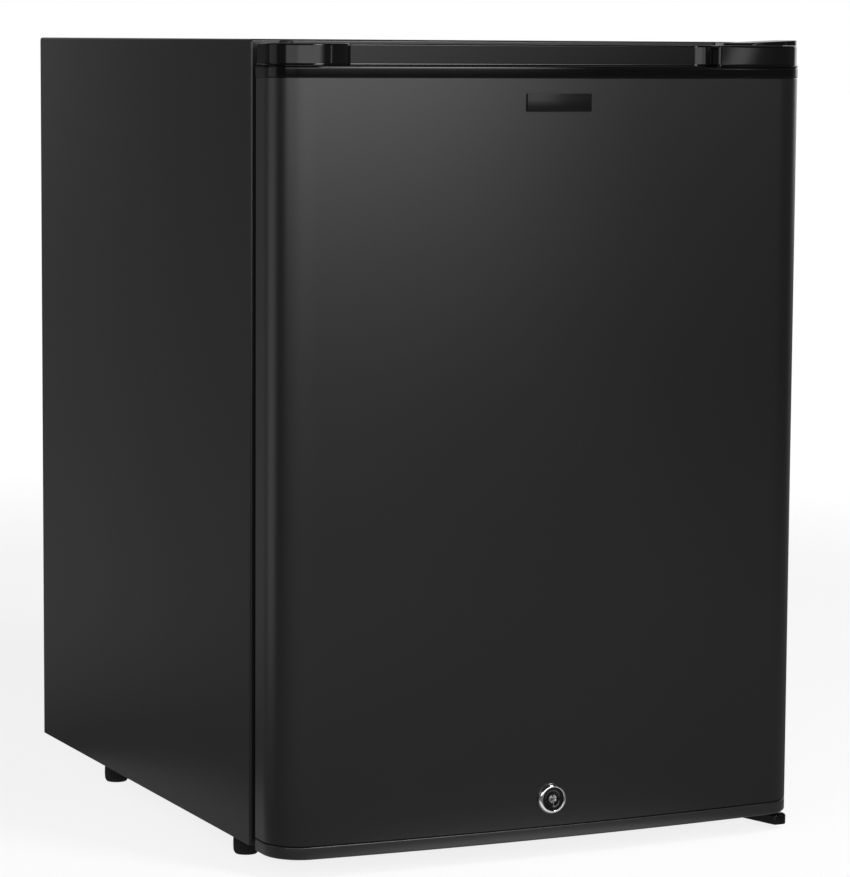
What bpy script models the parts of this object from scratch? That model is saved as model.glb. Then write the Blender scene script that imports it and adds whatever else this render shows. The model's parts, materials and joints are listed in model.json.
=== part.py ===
"""A minibar fridge: a black steel cabinet on levelling feet, with a bowed door that locks,
wire shelves, bottle racks, and an absorption cooling unit in the open space at the back.

Metres, +Z up, the door faces -Y. The origin is on the floor under the middle of the fridge.
Places inside are measured from the cabinet's front face (FACE) and its bottom edge (BOTTOM).
"""

import math

import bmesh
import bpy
from mathutils import Matrix, Vector

MM = 0.001

# Cabinet
CABINET_WIDTH = 402 * MM
CABINET_DEPTH = 432 * MM
CABINET_HEIGHT = 545 * MM
SHEET = 0.8 * MM
FOLD_RADIUS = 2 * MM
FRONT_FLANGE = 30 * MM
REAR_FLANGE = 12 * MM
SIDE_WALL = 42 * MM
TOP_WALL = 50 * MM
BOTTOM_WALL = 62 * MM
BACK_WALL = 46 * MM
COMPARTMENT = 105 * MM
LINER = 1.8 * MM
LINER_FILLET = 3.5 * MM
CLEAR = 0.3 * MM

# Feet
FOOT_HEIGHT = 16 * MM
FOOT_RADIUS = 9 * MM
FOOT_INSET = 16 * MM
FRONT_FOOT = 46 * MM
REAR_FOOT = 19 * MM
STUD_RADIUS = 4 * MM
STUD_LENGTH = 17 * MM

# Door
DOOR_GAP = 10 * MM
DOOR_EDGE = 38 * MM
DOOR_BOW = 8.5 * MM
DOOR_CORNER = 27 * MM
DOOR_RETURN = 12 * MM
TOP_STEP = 2.5 * MM
TIER_HEIGHT = 14.5 * MM
TIER_INSET = 0.5 * MM
BAND_HEIGHT = 8 * MM
BAND_OVERHANG = 0.7 * MM
DOOR_DROP = 1.5 * MM
BOTTOM_TRIM = 8.7 * MM
SHADOW_GAP = 0.8 * MM
TRIM_WALL = 2.5 * MM
GRIP_LEFT = 53 * MM
GRIP_RIGHT = 76 * MM
GRIP_DEPTH = 22 * MM
GRIP_FILLET = 9 * MM
GRIP_LIP = 6 * MM

# Gasket, and the raised ring of the door liner inside it
GASKET_INSET = 15 * MM
GASKET_TOP = 26 * MM
GASKET_BOTTOM = 47 * MM
GASKET_WIDTH = 13 * MM
RING_INSET = 9 * MM
RING_WIDTH = 24 * MM
RING_REACH = 22 * MM
RING_FILLET = 5 * MM

# Bottle racks, with heights above the cabinet's bottom edge
RACK_REACH = 62 * MM
RACK_HEIGHT = 46 * MM
RACK_WALL = 2 * MM
RACK_LEVELS = {
    "bottle_rack_lower": 100 * MM,
    "bottle_rack_middle": 228 * MM,
    "bottle_rack_upper": 356 * MM,
}
LUG_SIZE = 6 * MM

# Hinges
HINGE_INSET = 14 * MM
HINGE_AHEAD = 18 * MM
PIN_RADIUS = 3 * MM
BUSH_WALL = 2.2 * MM
BOSS_WALL = 3 * MM
LEAF = 1.6 * MM
LEAF_LENGTH = 47 * MM
LEAF_DROP = 19 * MM
ARM_AHEAD = 10 * MM
UPPER_ARM_HALF = 7.5 * MM
LOWER_ARM_HALF = 11 * MM
LOWER_ARM_TOP = 4 * MM
LOWER_ARM_HEIGHT = 8 * MM
LOWER_LEAF = 2.3 * MM
LOWER_LEAF_RISE = 26 * MM
ARM_RADIUS = 8 * MM
PIN_REACH = 9 * MM
COVER_WALL = 0.8 * MM
COVER_SLOPE = 0.045
SCREW_HEAD = 4 * MM
SCREW_HEAD_HEIGHT = 2 * MM
SCREW_RADIUS = 2 * MM
SCREW_LENGTH = 14 * MM
SCREW_PITCH = 24 * MM

# Lock
LOCK_HEIGHT = 27 * MM
BEZEL_RADIUS = 10.75 * MM
BEZEL_PROUD = 3.5 * MM
BARREL_RADIUS = 8 * MM
CORE_RADIUS = 4.2 * MM
KEYWAY_WIDTH = 1.6 * MM
NUT_FLATS = 21 * MM
NUT_THICKNESS = 3 * MM
CAM_LENGTH = 22 * MM
CAM_HALF = 5 * MM
CAM_THICKNESS = 2 * MM
STRIKE_THICKNESS = 1.5 * MM
STRIKE_HALF = 9 * MM
STRIKE_START = 14 * MM
STRIKE_LIP = 13 * MM
STRIKE_BASE = 14 * MM

# Badge place: a bare plate
BADGE_WIDTH = 48.5 * MM
BADGE_HEIGHT = 12 * MM
BADGE_THICKNESS = 1.2 * MM
BADGE_DROP = 16 * MM

# Shelves, and the ribs of the liner that carry them
RIB_COUNT = 5
RIB_PITCH = 70 * MM
SHELF_RIBS = {"lower_shelf": 1, "upper_shelf": 3}
SHELF_BELOW_CHANNEL = 16 * MM
RIB_WIDTH = 8 * MM
RIB_THICKNESS = 4 * MM
RIB_START = 66 * MM
STOP_HEIGHT = 4 * MM
SHELF_DEPTH = 165 * MM
SHELF_SETBACK = 4 * MM
FRAME_RADIUS = 2.5 * MM
SIDE_BAR_RADIUS = 2.7 * MM
WIRE_RADIUS = 1.5 * MM
WIRE_PITCH = 26 * MM
WIRE_COUNT = 11

# Evaporator and drain
FIN_SIDE_GAP = 59 * MM
FIN_TOP_GAP = 9 * MM
FIN_HEIGHT = 108 * MM
FIN_DEPTH = 22 * MM
FIN_THICKNESS = 2 * MM
FIN_BASE = 3 * MM
FIN_COUNT = 12
CHANNEL_OVERHANG = 12 * MM
CHANNEL_HEIGHT = 16 * MM
CHANNEL_DEPTH = 34 * MM
CHANNEL_GAP = 6 * MM
DRAIN_INSET = 15 * MM
DRAIN_RADIUS = 5 * MM
DRAIN_BEHIND = 18 * MM
DRAIN_BEND = 14 * MM

# Thermostat and lamp
HOUSING_DEPTH = 28 * MM
HOUSING_START = 92 * MM
HOUSING_LENGTH = 108 * MM
HOUSING_HEIGHT = 43 * MM
HOUSING_DROP = 4.3 * MM
DIAL_RADIUS = 15 * MM
DIAL_HEIGHT = 7 * MM
DIAL_BACK = 26 * MM
LENS_LENGTH = 44 * MM
LENS_HEIGHT = 26 * MM
LENS_THICKNESS = 3 * MM

# Door switch
SWITCH_INSET = 81 * MM
SWITCH_HALF_WIDTH = 11 * MM
SWITCH_HALF_HEIGHT = 4.5 * MM
SWITCH_DEPTH = 18 * MM
SWITCH_PLATE = 1.5 * MM
SWITCH_MARGIN = 6 * MM
PLUNGER_RADIUS = 2.5 * MM
PLUNGER_LENGTH = 21 * MM

# Cooling unit, behind the bulkhead, with heights above the cabinet's bottom edge
UNIT_BEHIND = 59 * MM
BOILER_INSET = 51 * MM
BOILER_RADIUS = 34 * MM
BOILER_BOTTOM = 40 * MM
BOILER_HEIGHT = 290 * MM
VESSEL_RADIUS = 28 * MM
VESSEL_HEIGHT = 50 * MM
VESSEL_GAP = 55 * MM
VESSEL_INSET = 26 * MM
CONDENSER_DROP = 67 * MM
CONDENSER_RADIUS = 8 * MM
CONDENSER_GAP = 24 * MM
CONDENSER_INSET = 51 * MM
CONDENSER_FIN = 28 * MM
CONDENSER_FIN_COUNT = 9
CONDENSER_FIN_START = 46 * MM
CONDENSER_FIN_END = 30 * MM
EXCHANGER_INSET = 139 * MM
EXCHANGER_RADIUS = 9 * MM
EXCHANGER_GAP = 16 * MM
PIPE_RADIUS = 6 * MM
PIPE_BEND = 13 * MM
PIPE_INSET = 25 * MM
PIPE_RUN = 256 * MM
PIPE_DROP = 38 * MM
PIPE_AHEAD = 22 * MM
COIL_START = 61 * MM
COIL_END = 19 * MM
COIL_HALF_DEPTH = 26 * MM
COIL_BOTTOM = 100 * MM
COIL_PITCH = 29 * MM
COIL_TURNS = 5
COIL_STEPS = 24
TRAY_INSET = 29 * MM
TRAY_WIDTH = 92 * MM
TRAY_HEIGHT = 18 * MM
TRAY_WALL = 1.5 * MM
BRACE_THICKNESS = 1.5 * MM
BRACE_HEIGHT = 34 * MM
TERMINAL_INSET = 9 * MM
TERMINAL_WIDTH = 77 * MM
TERMINAL_BOTTOM = 200 * MM
TERMINAL_HEIGHT = 90 * MM
TERMINAL_DEPTH = 44 * MM
INLET_HALF_WIDTH = 15 * MM
INLET_HALF_HEIGHT = 11 * MM
INLET_WALL = 3 * MM
INLET_DEPTH = 17 * MM

# Round shapes
SIDES = 24
CORNER_STEPS = 10
BOW_STEPS = 24

# Places that follow from the sizes
HALF_WIDTH = CABINET_WIDTH / 2
TOTAL_DEPTH = CABINET_DEPTH + DOOR_GAP + DOOR_EDGE + DOOR_BOW + BEZEL_PROUD
BACK = TOTAL_DEPTH / 2
FACE = BACK - CABINET_DEPTH
BOTTOM = FOOT_HEIGHT
TOP = BOTTOM + CABINET_HEIGHT
BULKHEAD = BACK - COMPARTMENT
CAVITY_X = HALF_WIDTH - SIDE_WALL
CAVITY_BACK = BULKHEAD - BACK_WALL
CAVITY_FLOOR = BOTTOM + BOTTOM_WALL
CAVITY_TOP = TOP - TOP_WALL
INSIDE_X = HALF_WIDTH - SHEET - CLEAR
INSIDE_TOP = TOP - SHEET - CLEAR
PAN_TOP = BOTTOM + SHEET + CLEAR
FLANGE_X = HALF_WIDTH - FRONT_FLANGE
SWITCH_X = SWITCH_INSET - HALF_WIDTH

DOOR_REAR = FACE - DOOR_GAP
DOOR_FRONT = DOOR_REAR - DOOR_EDGE - DOOR_BOW
DOOR_TOP = TOP - TOP_STEP
LEDGE = DOOR_TOP - TIER_HEIGHT
BAND_BOTTOM = LEDGE - BAND_HEIGHT
DOOR_BOTTOM = BOTTOM - DOOR_DROP
BOTTOM_TRIM_TOP = DOOR_BOTTOM + BOTTOM_TRIM
SKIN_BOTTOM = BOTTOM_TRIM_TOP + SHADOW_GAP
SKIN_TOP = BAND_BOTTOM - CLEAR
PLATE_REAR = DOOR_REAR - SHEET - CLEAR
PLATE_FRONT = PLATE_REAR - LINER

HINGE_X = HALF_WIDTH - HINGE_INSET
HINGE_Y = DOOR_REAR - HINGE_AHEAD
BUSH_RADIUS = PIN_RADIUS + CLEAR + BUSH_WALL
BOSS_RADIUS = BUSH_RADIUS + CLEAR + BOSS_WALL
LOCK_Z = BOTTOM + LOCK_HEIGHT
UNIT_Y = BULKHEAD + UNIT_BEHIND
HOLE_RADIUS = SCREW_RADIUS + CLEAR

FIN_X = CAVITY_X - FIN_SIDE_GAP
FIN_Z = (CAVITY_TOP - FIN_TOP_GAP - FIN_HEIGHT, CAVITY_TOP - FIN_TOP_GAP)
CHANNEL_X = FIN_X + CHANNEL_OVERHANG
CHANNEL_Z = (FIN_Z[0] - CHANNEL_GAP - CHANNEL_HEIGHT, FIN_Z[0] - CHANNEL_GAP)
UPPER_SHELF_Z = CHANNEL_Z[0] - SHELF_BELOW_CHANNEL
RIB_LEVELS = [
    UPPER_SHELF_Z + (i - SHELF_RIBS["upper_shelf"]) * RIB_PITCH for i in range(RIB_COUNT)
]

BOILER_X = BOILER_INSET - HALF_WIDTH
VESSEL_X = (BOILER_X + VESSEL_GAP, HALF_WIDTH - VESSEL_INSET)
CONDENSER_X = (BOILER_X + CONDENSER_GAP, HALF_WIDTH - CONDENSER_INSET)
CONDENSER_FIN_X = (CONDENSER_X[0] + CONDENSER_FIN_START, CONDENSER_X[1] - CONDENSER_FIN_END)
CONDENSER_Z = TOP - CONDENSER_DROP
EXCHANGER_X = HALF_WIDTH - EXCHANGER_INSET
PIPE_X = (HALF_WIDTH - PIPE_INSET - PIPE_RUN, HALF_WIDTH - PIPE_INSET)
COIL_X = (BOILER_X + COIL_START + EXCHANGER_X - COIL_END) / 2
COIL_HALF_LENGTH = (EXCHANGER_X - COIL_END - BOILER_X - COIL_START) / 2
TRAY_X = (HALF_WIDTH - TRAY_INSET - TRAY_WIDTH, HALF_WIDTH - TRAY_INSET)
DRAIN_X = TRAY_X[0] + DRAIN_INSET
TERMINAL_X = (HALF_WIDTH - TERMINAL_INSET - TERMINAL_WIDTH, HALF_WIDTH - TERMINAL_INSET)

RING_X = CAVITY_X - RING_INSET
RING_Z = (CAVITY_FLOOR + RING_INSET, CAVITY_TOP - RING_INSET)
RACK_X = RING_X - RING_WIDTH

PARTS = bpy.data.collections.new("minibar_fridge")
CUTTERS = bpy.data.collections.new("cutters")


def finish(name, colour, roughness, metallic=0.0):
    """A plain material of one colour."""
    made = bpy.data.materials.new(name)
    made.use_nodes = True
    shader = made.node_tree.nodes["Principled BSDF"]
    shader.inputs["Base Color"].default_value = (*colour, 1.0)
    shader.inputs["Roughness"].default_value = roughness
    shader.inputs["Metallic"].default_value = metallic
    made.diffuse_color = (*colour, 1.0)
    return made


BLACK_STEEL = finish("black_painted_steel", (0.030, 0.030, 0.031), 0.45)
BLACK_SKIN = finish("black_grained_steel", (0.040, 0.040, 0.041), 0.38)
GLOSS_BLACK = finish("gloss_black_plastic", (0.010, 0.010, 0.011), 0.12)
MATT_BLACK = finish("black_plastic", (0.016, 0.016, 0.017), 0.5)
BLACK_RUBBER = finish("black_rubber", (0.012, 0.012, 0.012), 0.7)
WHITE_LINER = finish("white_liner_plastic", (0.80, 0.81, 0.80), 0.35)
CLEAR_RACK = finish("milky_rack_plastic", (0.74, 0.77, 0.79), 0.2)
FOAM = finish("yellow_foam", (0.78, 0.66, 0.36), 0.9)
ZINC = finish("zinc_steel", (0.60, 0.61, 0.62), 0.35, 1.0)
CHROME = finish("chrome", (0.80, 0.80, 0.81), 0.08, 1.0)
ALUMINIUM = finish("aluminium", (0.78, 0.79, 0.80), 0.3, 1.0)
WHITE_WIRE = finish("white_coated_wire", (0.82, 0.82, 0.81), 0.3)
UNIT_STEEL = finish("unit_black_steel", (0.035, 0.035, 0.036), 0.6)


def placed(obj, material):
    """Puts a part in its collection. With no material the object is a cutter or a helper."""
    if material is None:
        CUTTERS.objects.link(obj)
        obj.hide_render = True
        obj.display_type = "WIRE"
        return obj
    PARTS.objects.link(obj)
    if obj.data.materials:
        obj.data.materials[0] = material
    else:
        obj.data.materials.append(material)
    return obj


def boxes(name, ranges, material=None):
    """One object holding a box for each (x, y, z), where each of these is a (low, high) pair."""
    mesh = bpy.data.meshes.new(name)
    shape = bmesh.new()
    for x, y, z in ranges:
        size = Vector((x[1] - x[0], y[1] - y[0], z[1] - z[0]))
        middle = Vector((sum(x) / 2, sum(y) / 2, sum(z) / 2))
        made = bmesh.ops.create_cube(shape, size=1.0)
        bmesh.ops.scale(shape, vec=size, verts=made["verts"])
        bmesh.ops.translate(shape, vec=middle, verts=made["verts"])
    shape.to_mesh(mesh)
    shape.free()
    return placed(bpy.data.objects.new(name, mesh), material)


def box(name, x, y, z, material=None):
    return boxes(name, [(x, y, z)], material)


def along(direction):
    """The rotation that turns +Z to a direction."""
    return Vector(direction).to_track_quat("Z", "Y")


def rod(name, start, end, radius, material=None, sides=SIDES):
    """A cylinder from one point to another."""
    run = Vector(end) - Vector(start)
    mesh = bpy.data.meshes.new(name)
    shape = bmesh.new()
    bmesh.ops.create_cone(
        shape, cap_ends=True, segments=sides, radius1=radius, radius2=radius, depth=run.length
    )
    shape.to_mesh(mesh)
    shape.free()
    obj = bpy.data.objects.new(name, mesh)
    obj.location = (Vector(start) + Vector(end)) / 2
    obj.rotation_mode = "QUATERNION"
    obj.rotation_quaternion = along(run)
    smooth(obj)
    return placed(obj, material)


def turned(name, profile, at, direction, material=None, ring=False, steps=SIDES):
    """A turned shape. The profile is (radius, height) pairs that run down the outer side;
    a ring's profile closes on itself, and any other starts and ends on the axis."""
    mesh = bpy.data.meshes.new(name)
    points = [(radius, 0, height) for radius, height in profile]
    count = len(points)
    edges = [(i, (i + 1) % count) for i in range(count if ring else count - 1)]
    mesh.from_pydata(points, edges, [])
    obj = bpy.data.objects.new(name, mesh)
    obj.location = at
    obj.rotation_mode = "QUATERNION"
    obj.rotation_quaternion = along(direction)
    spin = obj.modifiers.new("turn", "SCREW")
    spin.axis = "Z"
    spin.steps = steps
    spin.render_steps = steps
    spin.use_merge_vertices = True
    spin.merge_threshold = 1e-5
    return placed(obj, material)


def ridged_knob(name, rings, ridges, depth, at, direction, material=None):
    """A knob with ridges round it, from (radius, height) rings, bottom first."""
    count = 2 * ridges
    points = []
    for radius, height in rings:
        for i in range(count):
            reach = radius - depth * (i % 2)
            turn = 2 * math.pi * i / count
            points.append((reach * math.cos(turn), reach * math.sin(turn), height))
    last = count * (len(rings) - 1)
    faces = [tuple(reversed(range(count))), tuple(range(last, last + count))]
    for start in range(0, last, count):
        for i in range(count):
            j = (i + 1) % count
            faces.append((start + i, start + j, start + count + j, start + count + i))
    mesh = bpy.data.meshes.new(name)
    mesh.from_pydata(points, [], faces)
    obj = bpy.data.objects.new(name, mesh)
    obj.location = at
    obj.rotation_mode = "QUATERNION"
    obj.rotation_quaternion = along(direction)
    return placed(obj, material)


def prism(name, outline, span, material=None, axis="Z"):
    """A flat outline extruded over a span of Z (an outline in X and Y) or of Y (in X and Z)."""
    curve = bpy.data.curves.new(name, "CURVE")
    curve.dimensions = "2D"
    curve.fill_mode = "BOTH"
    curve.extrude = (span[1] - span[0]) / 2
    spline = curve.splines.new("POLY")
    spline.points.add(len(outline) - 1)
    for point, (across, up) in zip(spline.points, outline):
        point.co = (across, up, 0, 1)
    spline.use_cyclic_u = True
    guide = bpy.data.objects.new(name + "_outline", curve)
    middle = sum(span) / 2
    if axis == "Z":
        guide.matrix_world = Matrix.Translation((0, 0, middle))
    else:
        guide.matrix_world = Matrix.Translation((0, middle, 0)) @ Matrix.Rotation(math.pi / 2, 4, "X")
    return as_mesh(guide, name, material)


def as_mesh(guide, name, material):
    """Turns a curve object into a welded mesh object in the same place."""
    CUTTERS.objects.link(guide)
    bpy.context.view_layer.update()
    graph = bpy.context.evaluated_depsgraph_get()
    mesh = bpy.data.meshes.new_from_object(guide.evaluated_get(graph))
    shape = bmesh.new()
    shape.from_mesh(mesh)
    bmesh.ops.remove_doubles(shape, verts=shape.verts, dist=1e-6)
    bmesh.ops.recalc_face_normals(shape, faces=shape.faces)
    shape.to_mesh(mesh)
    shape.free()
    mesh.name = name
    obj = bpy.data.objects.new(name, mesh)
    obj.matrix_world = guide.matrix_world
    bpy.data.objects.remove(guide, do_unlink=True)
    return placed(obj, material)


def tube(name, points, radius, material, resolution=2):
    """A round tube along a line of points."""
    curve = bpy.data.curves.new(name, "CURVE")
    curve.dimensions = "3D"
    curve.bevel_depth = radius
    curve.bevel_resolution = resolution
    curve.use_fill_caps = True
    spline = curve.splines.new("POLY")
    spline.points.add(len(points) - 1)
    for point, place in zip(spline.points, points):
        point.co = (*place, 1)
    return placed(bpy.data.objects.new(name, curve), material)


def rounded_route(corners, bend, steps=5):
    """The points of a route with each inner corner rounded to the bend radius."""
    corners = [Vector(corner) for corner in corners]
    points = [corners[0]]
    for before, corner, after in zip(corners, corners[1:], corners[2:]):
        into = (corner - before).normalized()
        out = (after - corner).normalized()
        turn = into.angle(out)
        run = bend * math.tan(turn / 2)
        start = corner - into * run
        centre = start + (out - into * into.dot(out)).normalized() * bend
        axis = into.cross(out).normalized()
        for step in range(steps + 1):
            spin = Matrix.Rotation(turn * step / steps, 3, axis)
            points.append(centre + spin @ (start - centre))
    points.append(corners[-1])
    return points


def smooth(obj, angle=math.radians(35)):
    obj.data.shade_smooth()
    obj.data.set_sharp_from_angle(angle=angle)


def bevel(obj, width, segments=2):
    change = obj.modifiers.new("bevel", "BEVEL")
    change.width = width
    change.segments = segments
    change.limit_method = "ANGLE"
    change.angle_limit = math.radians(40)
    return obj


def cut(target, *cutters):
    for cutter in cutters:
        change = target.modifiers.new("cut_" + cutter.name, "BOOLEAN")
        change.operation = "DIFFERENCE"
        change.object = cutter
    return target


def join(target, *others):
    for other in others:
        change = target.modifiers.new("join_" + other.name, "BOOLEAN")
        change.operation = "UNION"
        change.object = other
    return target


def pivot(name, at):
    """An empty on a joint's axis, which carries the pieces that move."""
    empty = bpy.data.objects.new(name, None)
    empty.location = at
    empty.empty_display_size = 0.03
    PARTS.objects.link(empty)
    return empty


def carry(empty, *pieces):
    """Parents pieces to an empty without moving them."""
    for piece in pieces:
        piece.parent = empty
        piece.matrix_parent_inverse = Matrix.Translation(empty.location).inverted()


def door_outline(inset, rear=DOOR_REAR):
    """The door's outline in plan, moved inwards by the inset: both round corners, the bowed
    front between them, and straight sides back to the rear line."""
    radius = DOOR_CORNER
    slope = math.atan(2 * DOOR_BOW / HALF_WIDTH)
    for _ in range(4):
        reach = HALF_WIDTH - radius + radius * math.sin(slope)
        slope = math.atan(2 * DOOR_BOW * reach / HALF_WIDTH**2)
    middle_x = -HALF_WIDTH + radius
    middle_y = DOOR_FRONT + DOOR_BOW * (reach / HALF_WIDTH) ** 2 + radius * math.cos(slope)
    points = [(-HALF_WIDTH + inset, rear)]
    for step in range(CORNER_STEPS + 1):
        turn = (math.pi / 2 - slope) * step / CORNER_STEPS
        points.append(
            (
                middle_x - (radius - inset) * math.cos(turn),
                middle_y - (radius - inset) * math.sin(turn),
            )
        )
    for step in range(1, BOW_STEPS // 2):
        x = -reach * (1 - 2 * step / BOW_STEPS)
        lean = math.atan(2 * DOOR_BOW * x / HALF_WIDTH**2)
        y = DOOR_FRONT + DOOR_BOW * (x / HALF_WIDTH) ** 2
        points.append((x - inset * math.sin(lean), y + inset * math.cos(lean)))
    points.append((0.0, DOOR_FRONT + inset))
    return points + [(-x, y) for x, y in reversed(points[:-1])]


def screw(name, x, face, z, length):
    """A pan-head screw driven along +Y, its head in front of a face, with its hole's cutter."""
    head = face - CLEAR
    profile = [
        (0, SCREW_HEAD_HEIGHT),
        (0.7 * SCREW_HEAD, 0.9 * SCREW_HEAD_HEIGHT),
        (SCREW_HEAD, 0.4 * SCREW_HEAD_HEIGHT),
        (SCREW_HEAD, 0),
        (SCREW_RADIUS, 0),
        (SCREW_RADIUS, -length),
        (0, -length),
    ]
    made = turned(name, profile, (x, head, z), (0, -1, 0), ZINC, steps=12)
    slot = boxes(
        name + "_cross",
        [
            (
                (x - 0.6 * SCREW_HEAD, x + 0.6 * SCREW_HEAD),
                (head - 2 * SCREW_HEAD_HEIGHT, head - 0.5 * SCREW_HEAD_HEIGHT),
                (z - 0.12 * SCREW_HEAD, z + 0.12 * SCREW_HEAD),
            )
        ],
    )
    cut(made, slot)
    hole = rod(
        name + "_hole", (x, head - CLEAR, z), (x, head + length + CLEAR, z), HOLE_RADIUS, sides=12
    )
    return made, hole


def cabinet():
    """The folded wrapper, the pan, the bulkhead, the foam and the liner, and their openings."""
    below = BOTTOM - 3 * FOLD_RADIUS
    shell = box(
        "cabinet_shell", (-HALF_WIDTH, HALF_WIDTH), (FACE, BACK), (below, TOP), BLACK_STEEL
    )
    bevel(shell, FOLD_RADIUS, 3)
    inside = box(
        "shell_inside",
        (-HALF_WIDTH + SHEET, HALF_WIDTH - SHEET),
        (FACE + SHEET, BACK - SHEET),
        (below - FOLD_RADIUS, TOP - SHEET),
    )
    bevel(inside, FOLD_RADIUS - SHEET, 2)
    front = box(
        "shell_front",
        (-FLANGE_X, FLANGE_X),
        (FACE - SHEET, FACE + 2 * SHEET),
        (below - FOLD_RADIUS, TOP - FRONT_FLANGE),
    )
    rear = box(
        "shell_rear",
        (-HALF_WIDTH + REAR_FLANGE, HALF_WIDTH - REAR_FLANGE),
        (BACK - 2 * SHEET, BACK + SHEET),
        (below - FOLD_RADIUS, TOP - REAR_FLANGE),
    )
    under = box(
        "shell_under",
        (-CABINET_WIDTH, CABINET_WIDTH),
        (-CABINET_DEPTH, CABINET_DEPTH),
        (below - FOLD_RADIUS, BOTTOM),
    )
    cut(shell, inside, front, rear, under)

    pan_front_x = FLANGE_X - CLEAR
    pan_front_top = BOTTOM + BOTTOM_WALL - LINER - 2 * CLEAR
    pan = box(
        "base_pan",
        (-INSIDE_X, INSIDE_X),
        (FACE + FOLD_RADIUS, BULKHEAD + REAR_FLANGE),
        (BOTTOM, BOTTOM + SHEET),
        BLACK_STEEL,
    )
    tongue = box(
        "pan_tongue",
        (-pan_front_x, pan_front_x),
        (FACE, FACE + FRONT_FLANGE),
        (BOTTOM, BOTTOM + SHEET),
    )
    flange = box(
        "pan_flange",
        (-pan_front_x, pan_front_x),
        (FACE, FACE + SHEET),
        (BOTTOM, pan_front_top),
    )
    sides = boxes(
        "pan_sides",
        [
            (
                sorted((side * INSIDE_X, side * (INSIDE_X - SHEET))),
                (FACE + FOLD_RADIUS, BULKHEAD + REAR_FLANGE),
                (BOTTOM, BOTTOM + REAR_FLANGE),
            )
            for side in (-1, 1)
        ],
    )
    join(pan, tongue, flange, sides)

    bulkhead_x = INSIDE_X - SHEET - CLEAR
    bulkhead = box(
        "rear_bulkhead",
        (-bulkhead_x, bulkhead_x),
        (BULKHEAD, BULKHEAD + SHEET),
        (PAN_TOP, INSIDE_TOP),
        ZINC,
    )
    turned_edges = boxes(
        "bulkhead_edges",
        [
            (
                sorted((side * bulkhead_x, side * (bulkhead_x - SHEET))),
                (BULKHEAD, BULKHEAD + REAR_FLANGE),
                (PAN_TOP, INSIDE_TOP),
            )
            for side in (-1, 1)
        ],
    )
    join(bulkhead, turned_edges)

    foam = box(
        "cabinet_foam",
        (-bulkhead_x, bulkhead_x),
        (FACE + LINER + CLEAR, BULKHEAD - CLEAR),
        (PAN_TOP, INSIDE_TOP),
        FOAM,
    )
    outer_x = CAVITY_X + LINER
    outer_back = CAVITY_BACK + LINER
    outer_z = (CAVITY_FLOOR - LINER, CAVITY_TOP + LINER)
    pocket = box(
        "foam_pocket",
        (-outer_x - CLEAR, outer_x + CLEAR),
        (FACE - CLEAR, outer_back + CLEAR),
        (outer_z[0] - CLEAR, outer_z[1] + CLEAR),
    )
    cut(foam, pocket)

    liner = box("inner_liner", (-outer_x, outer_x), (FACE, outer_back), outer_z, WHITE_LINER)
    rim = box(
        "liner_rim",
        (-pan_front_x, pan_front_x),
        (FACE, FACE + LINER),
        (pan_front_top + CLEAR, TOP - FRONT_FLANGE - CLEAR),
    )
    cavity = box(
        "liner_cavity",
        (-CAVITY_X, CAVITY_X),
        (FACE - 2 * LINER_FILLET, CAVITY_BACK),
        (CAVITY_FLOOR, CAVITY_TOP),
    )
    bevel(cavity, LINER_FILLET, 3)
    join(liner, rim)
    cut(liner, cavity)

    overlap = LINER / 2
    ribs = []
    stops = []
    for level in RIB_LEVELS:
        for side in (-1, 1):
            reach = sorted((side * (CAVITY_X - RIB_WIDTH), side * (CAVITY_X + overlap)))
            start = FACE + RIB_START
            ribs.append((reach, (start, CAVITY_BACK + overlap), (level - RIB_THICKNESS, level)))
            stops.append(
                (reach, (start, start + STOP_HEIGHT), (level - RIB_THICKNESS, level + STOP_HEIGHT))
            )
    join(liner, boxes("liner_ribs", ribs), boxes("liner_stops", stops))
    return {"shell": shell, "pan": pan, "bulkhead": bulkhead, "foam": foam, "liner": liner}


def door_switch(body):
    """The switch in the liner's rim, which the closed door's liner holds pressed in."""
    z = CAVITY_TOP + SWITCH_MARGIN
    plate_rear = FACE - CLEAR
    switch = box(
        "switch_body",
        (SWITCH_X - SWITCH_HALF_WIDTH, SWITCH_X + SWITCH_HALF_WIDTH),
        (plate_rear - SWITCH_PLATE, plate_rear),
        (z - SWITCH_HALF_HEIGHT, z + SWITCH_HALF_HEIGHT),
        WHITE_LINER,
    )
    neck_x = SWITCH_HALF_WIDTH - SWITCH_PLATE
    neck_z = SWITCH_HALF_HEIGHT - CLEAR
    neck = box(
        "switch_neck",
        (SWITCH_X - neck_x, SWITCH_X + neck_x),
        (plate_rear - SWITCH_PLATE / 2, FACE + SWITCH_DEPTH),
        (z - neck_z, z + neck_z),
    )
    bore = rod(
        "switch_bore",
        (SWITCH_X, FACE - 2 * SWITCH_PLATE, z),
        (SWITCH_X, FACE + SWITCH_DEPTH - SWITCH_PLATE, z),
        PLUNGER_RADIUS + CLEAR,
        sides=16,
    )
    cut(join(switch, neck), bore)
    hole = box(
        "switch_hole",
        (SWITCH_X - neck_x - CLEAR, SWITCH_X + neck_x + CLEAR),
        (FACE - SWITCH_PLATE, FACE + SWITCH_DEPTH + CLEAR),
        (z - neck_z - CLEAR, z + neck_z + CLEAR),
    )
    cut(body["liner"], hole)
    cut(body["foam"], hole)

    tip = PLATE_REAR + CLEAR
    dome = 0.4 * PLUNGER_RADIUS
    plunger = turned(
        "switch_plunger",
        [
            (0, 0),
            (PLUNGER_RADIUS - dome, 0),
            (PLUNGER_RADIUS, -dome),
            (PLUNGER_RADIUS, -PLUNGER_LENGTH),
            (0, -PLUNGER_LENGTH),
        ],
        (SWITCH_X, tip, z),
        (0, -1, 0),
        WHITE_LINER,
        steps=16,
    )
    carry(pivot("switch_slide", (SWITCH_X, tip, z)), plunger)


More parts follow.
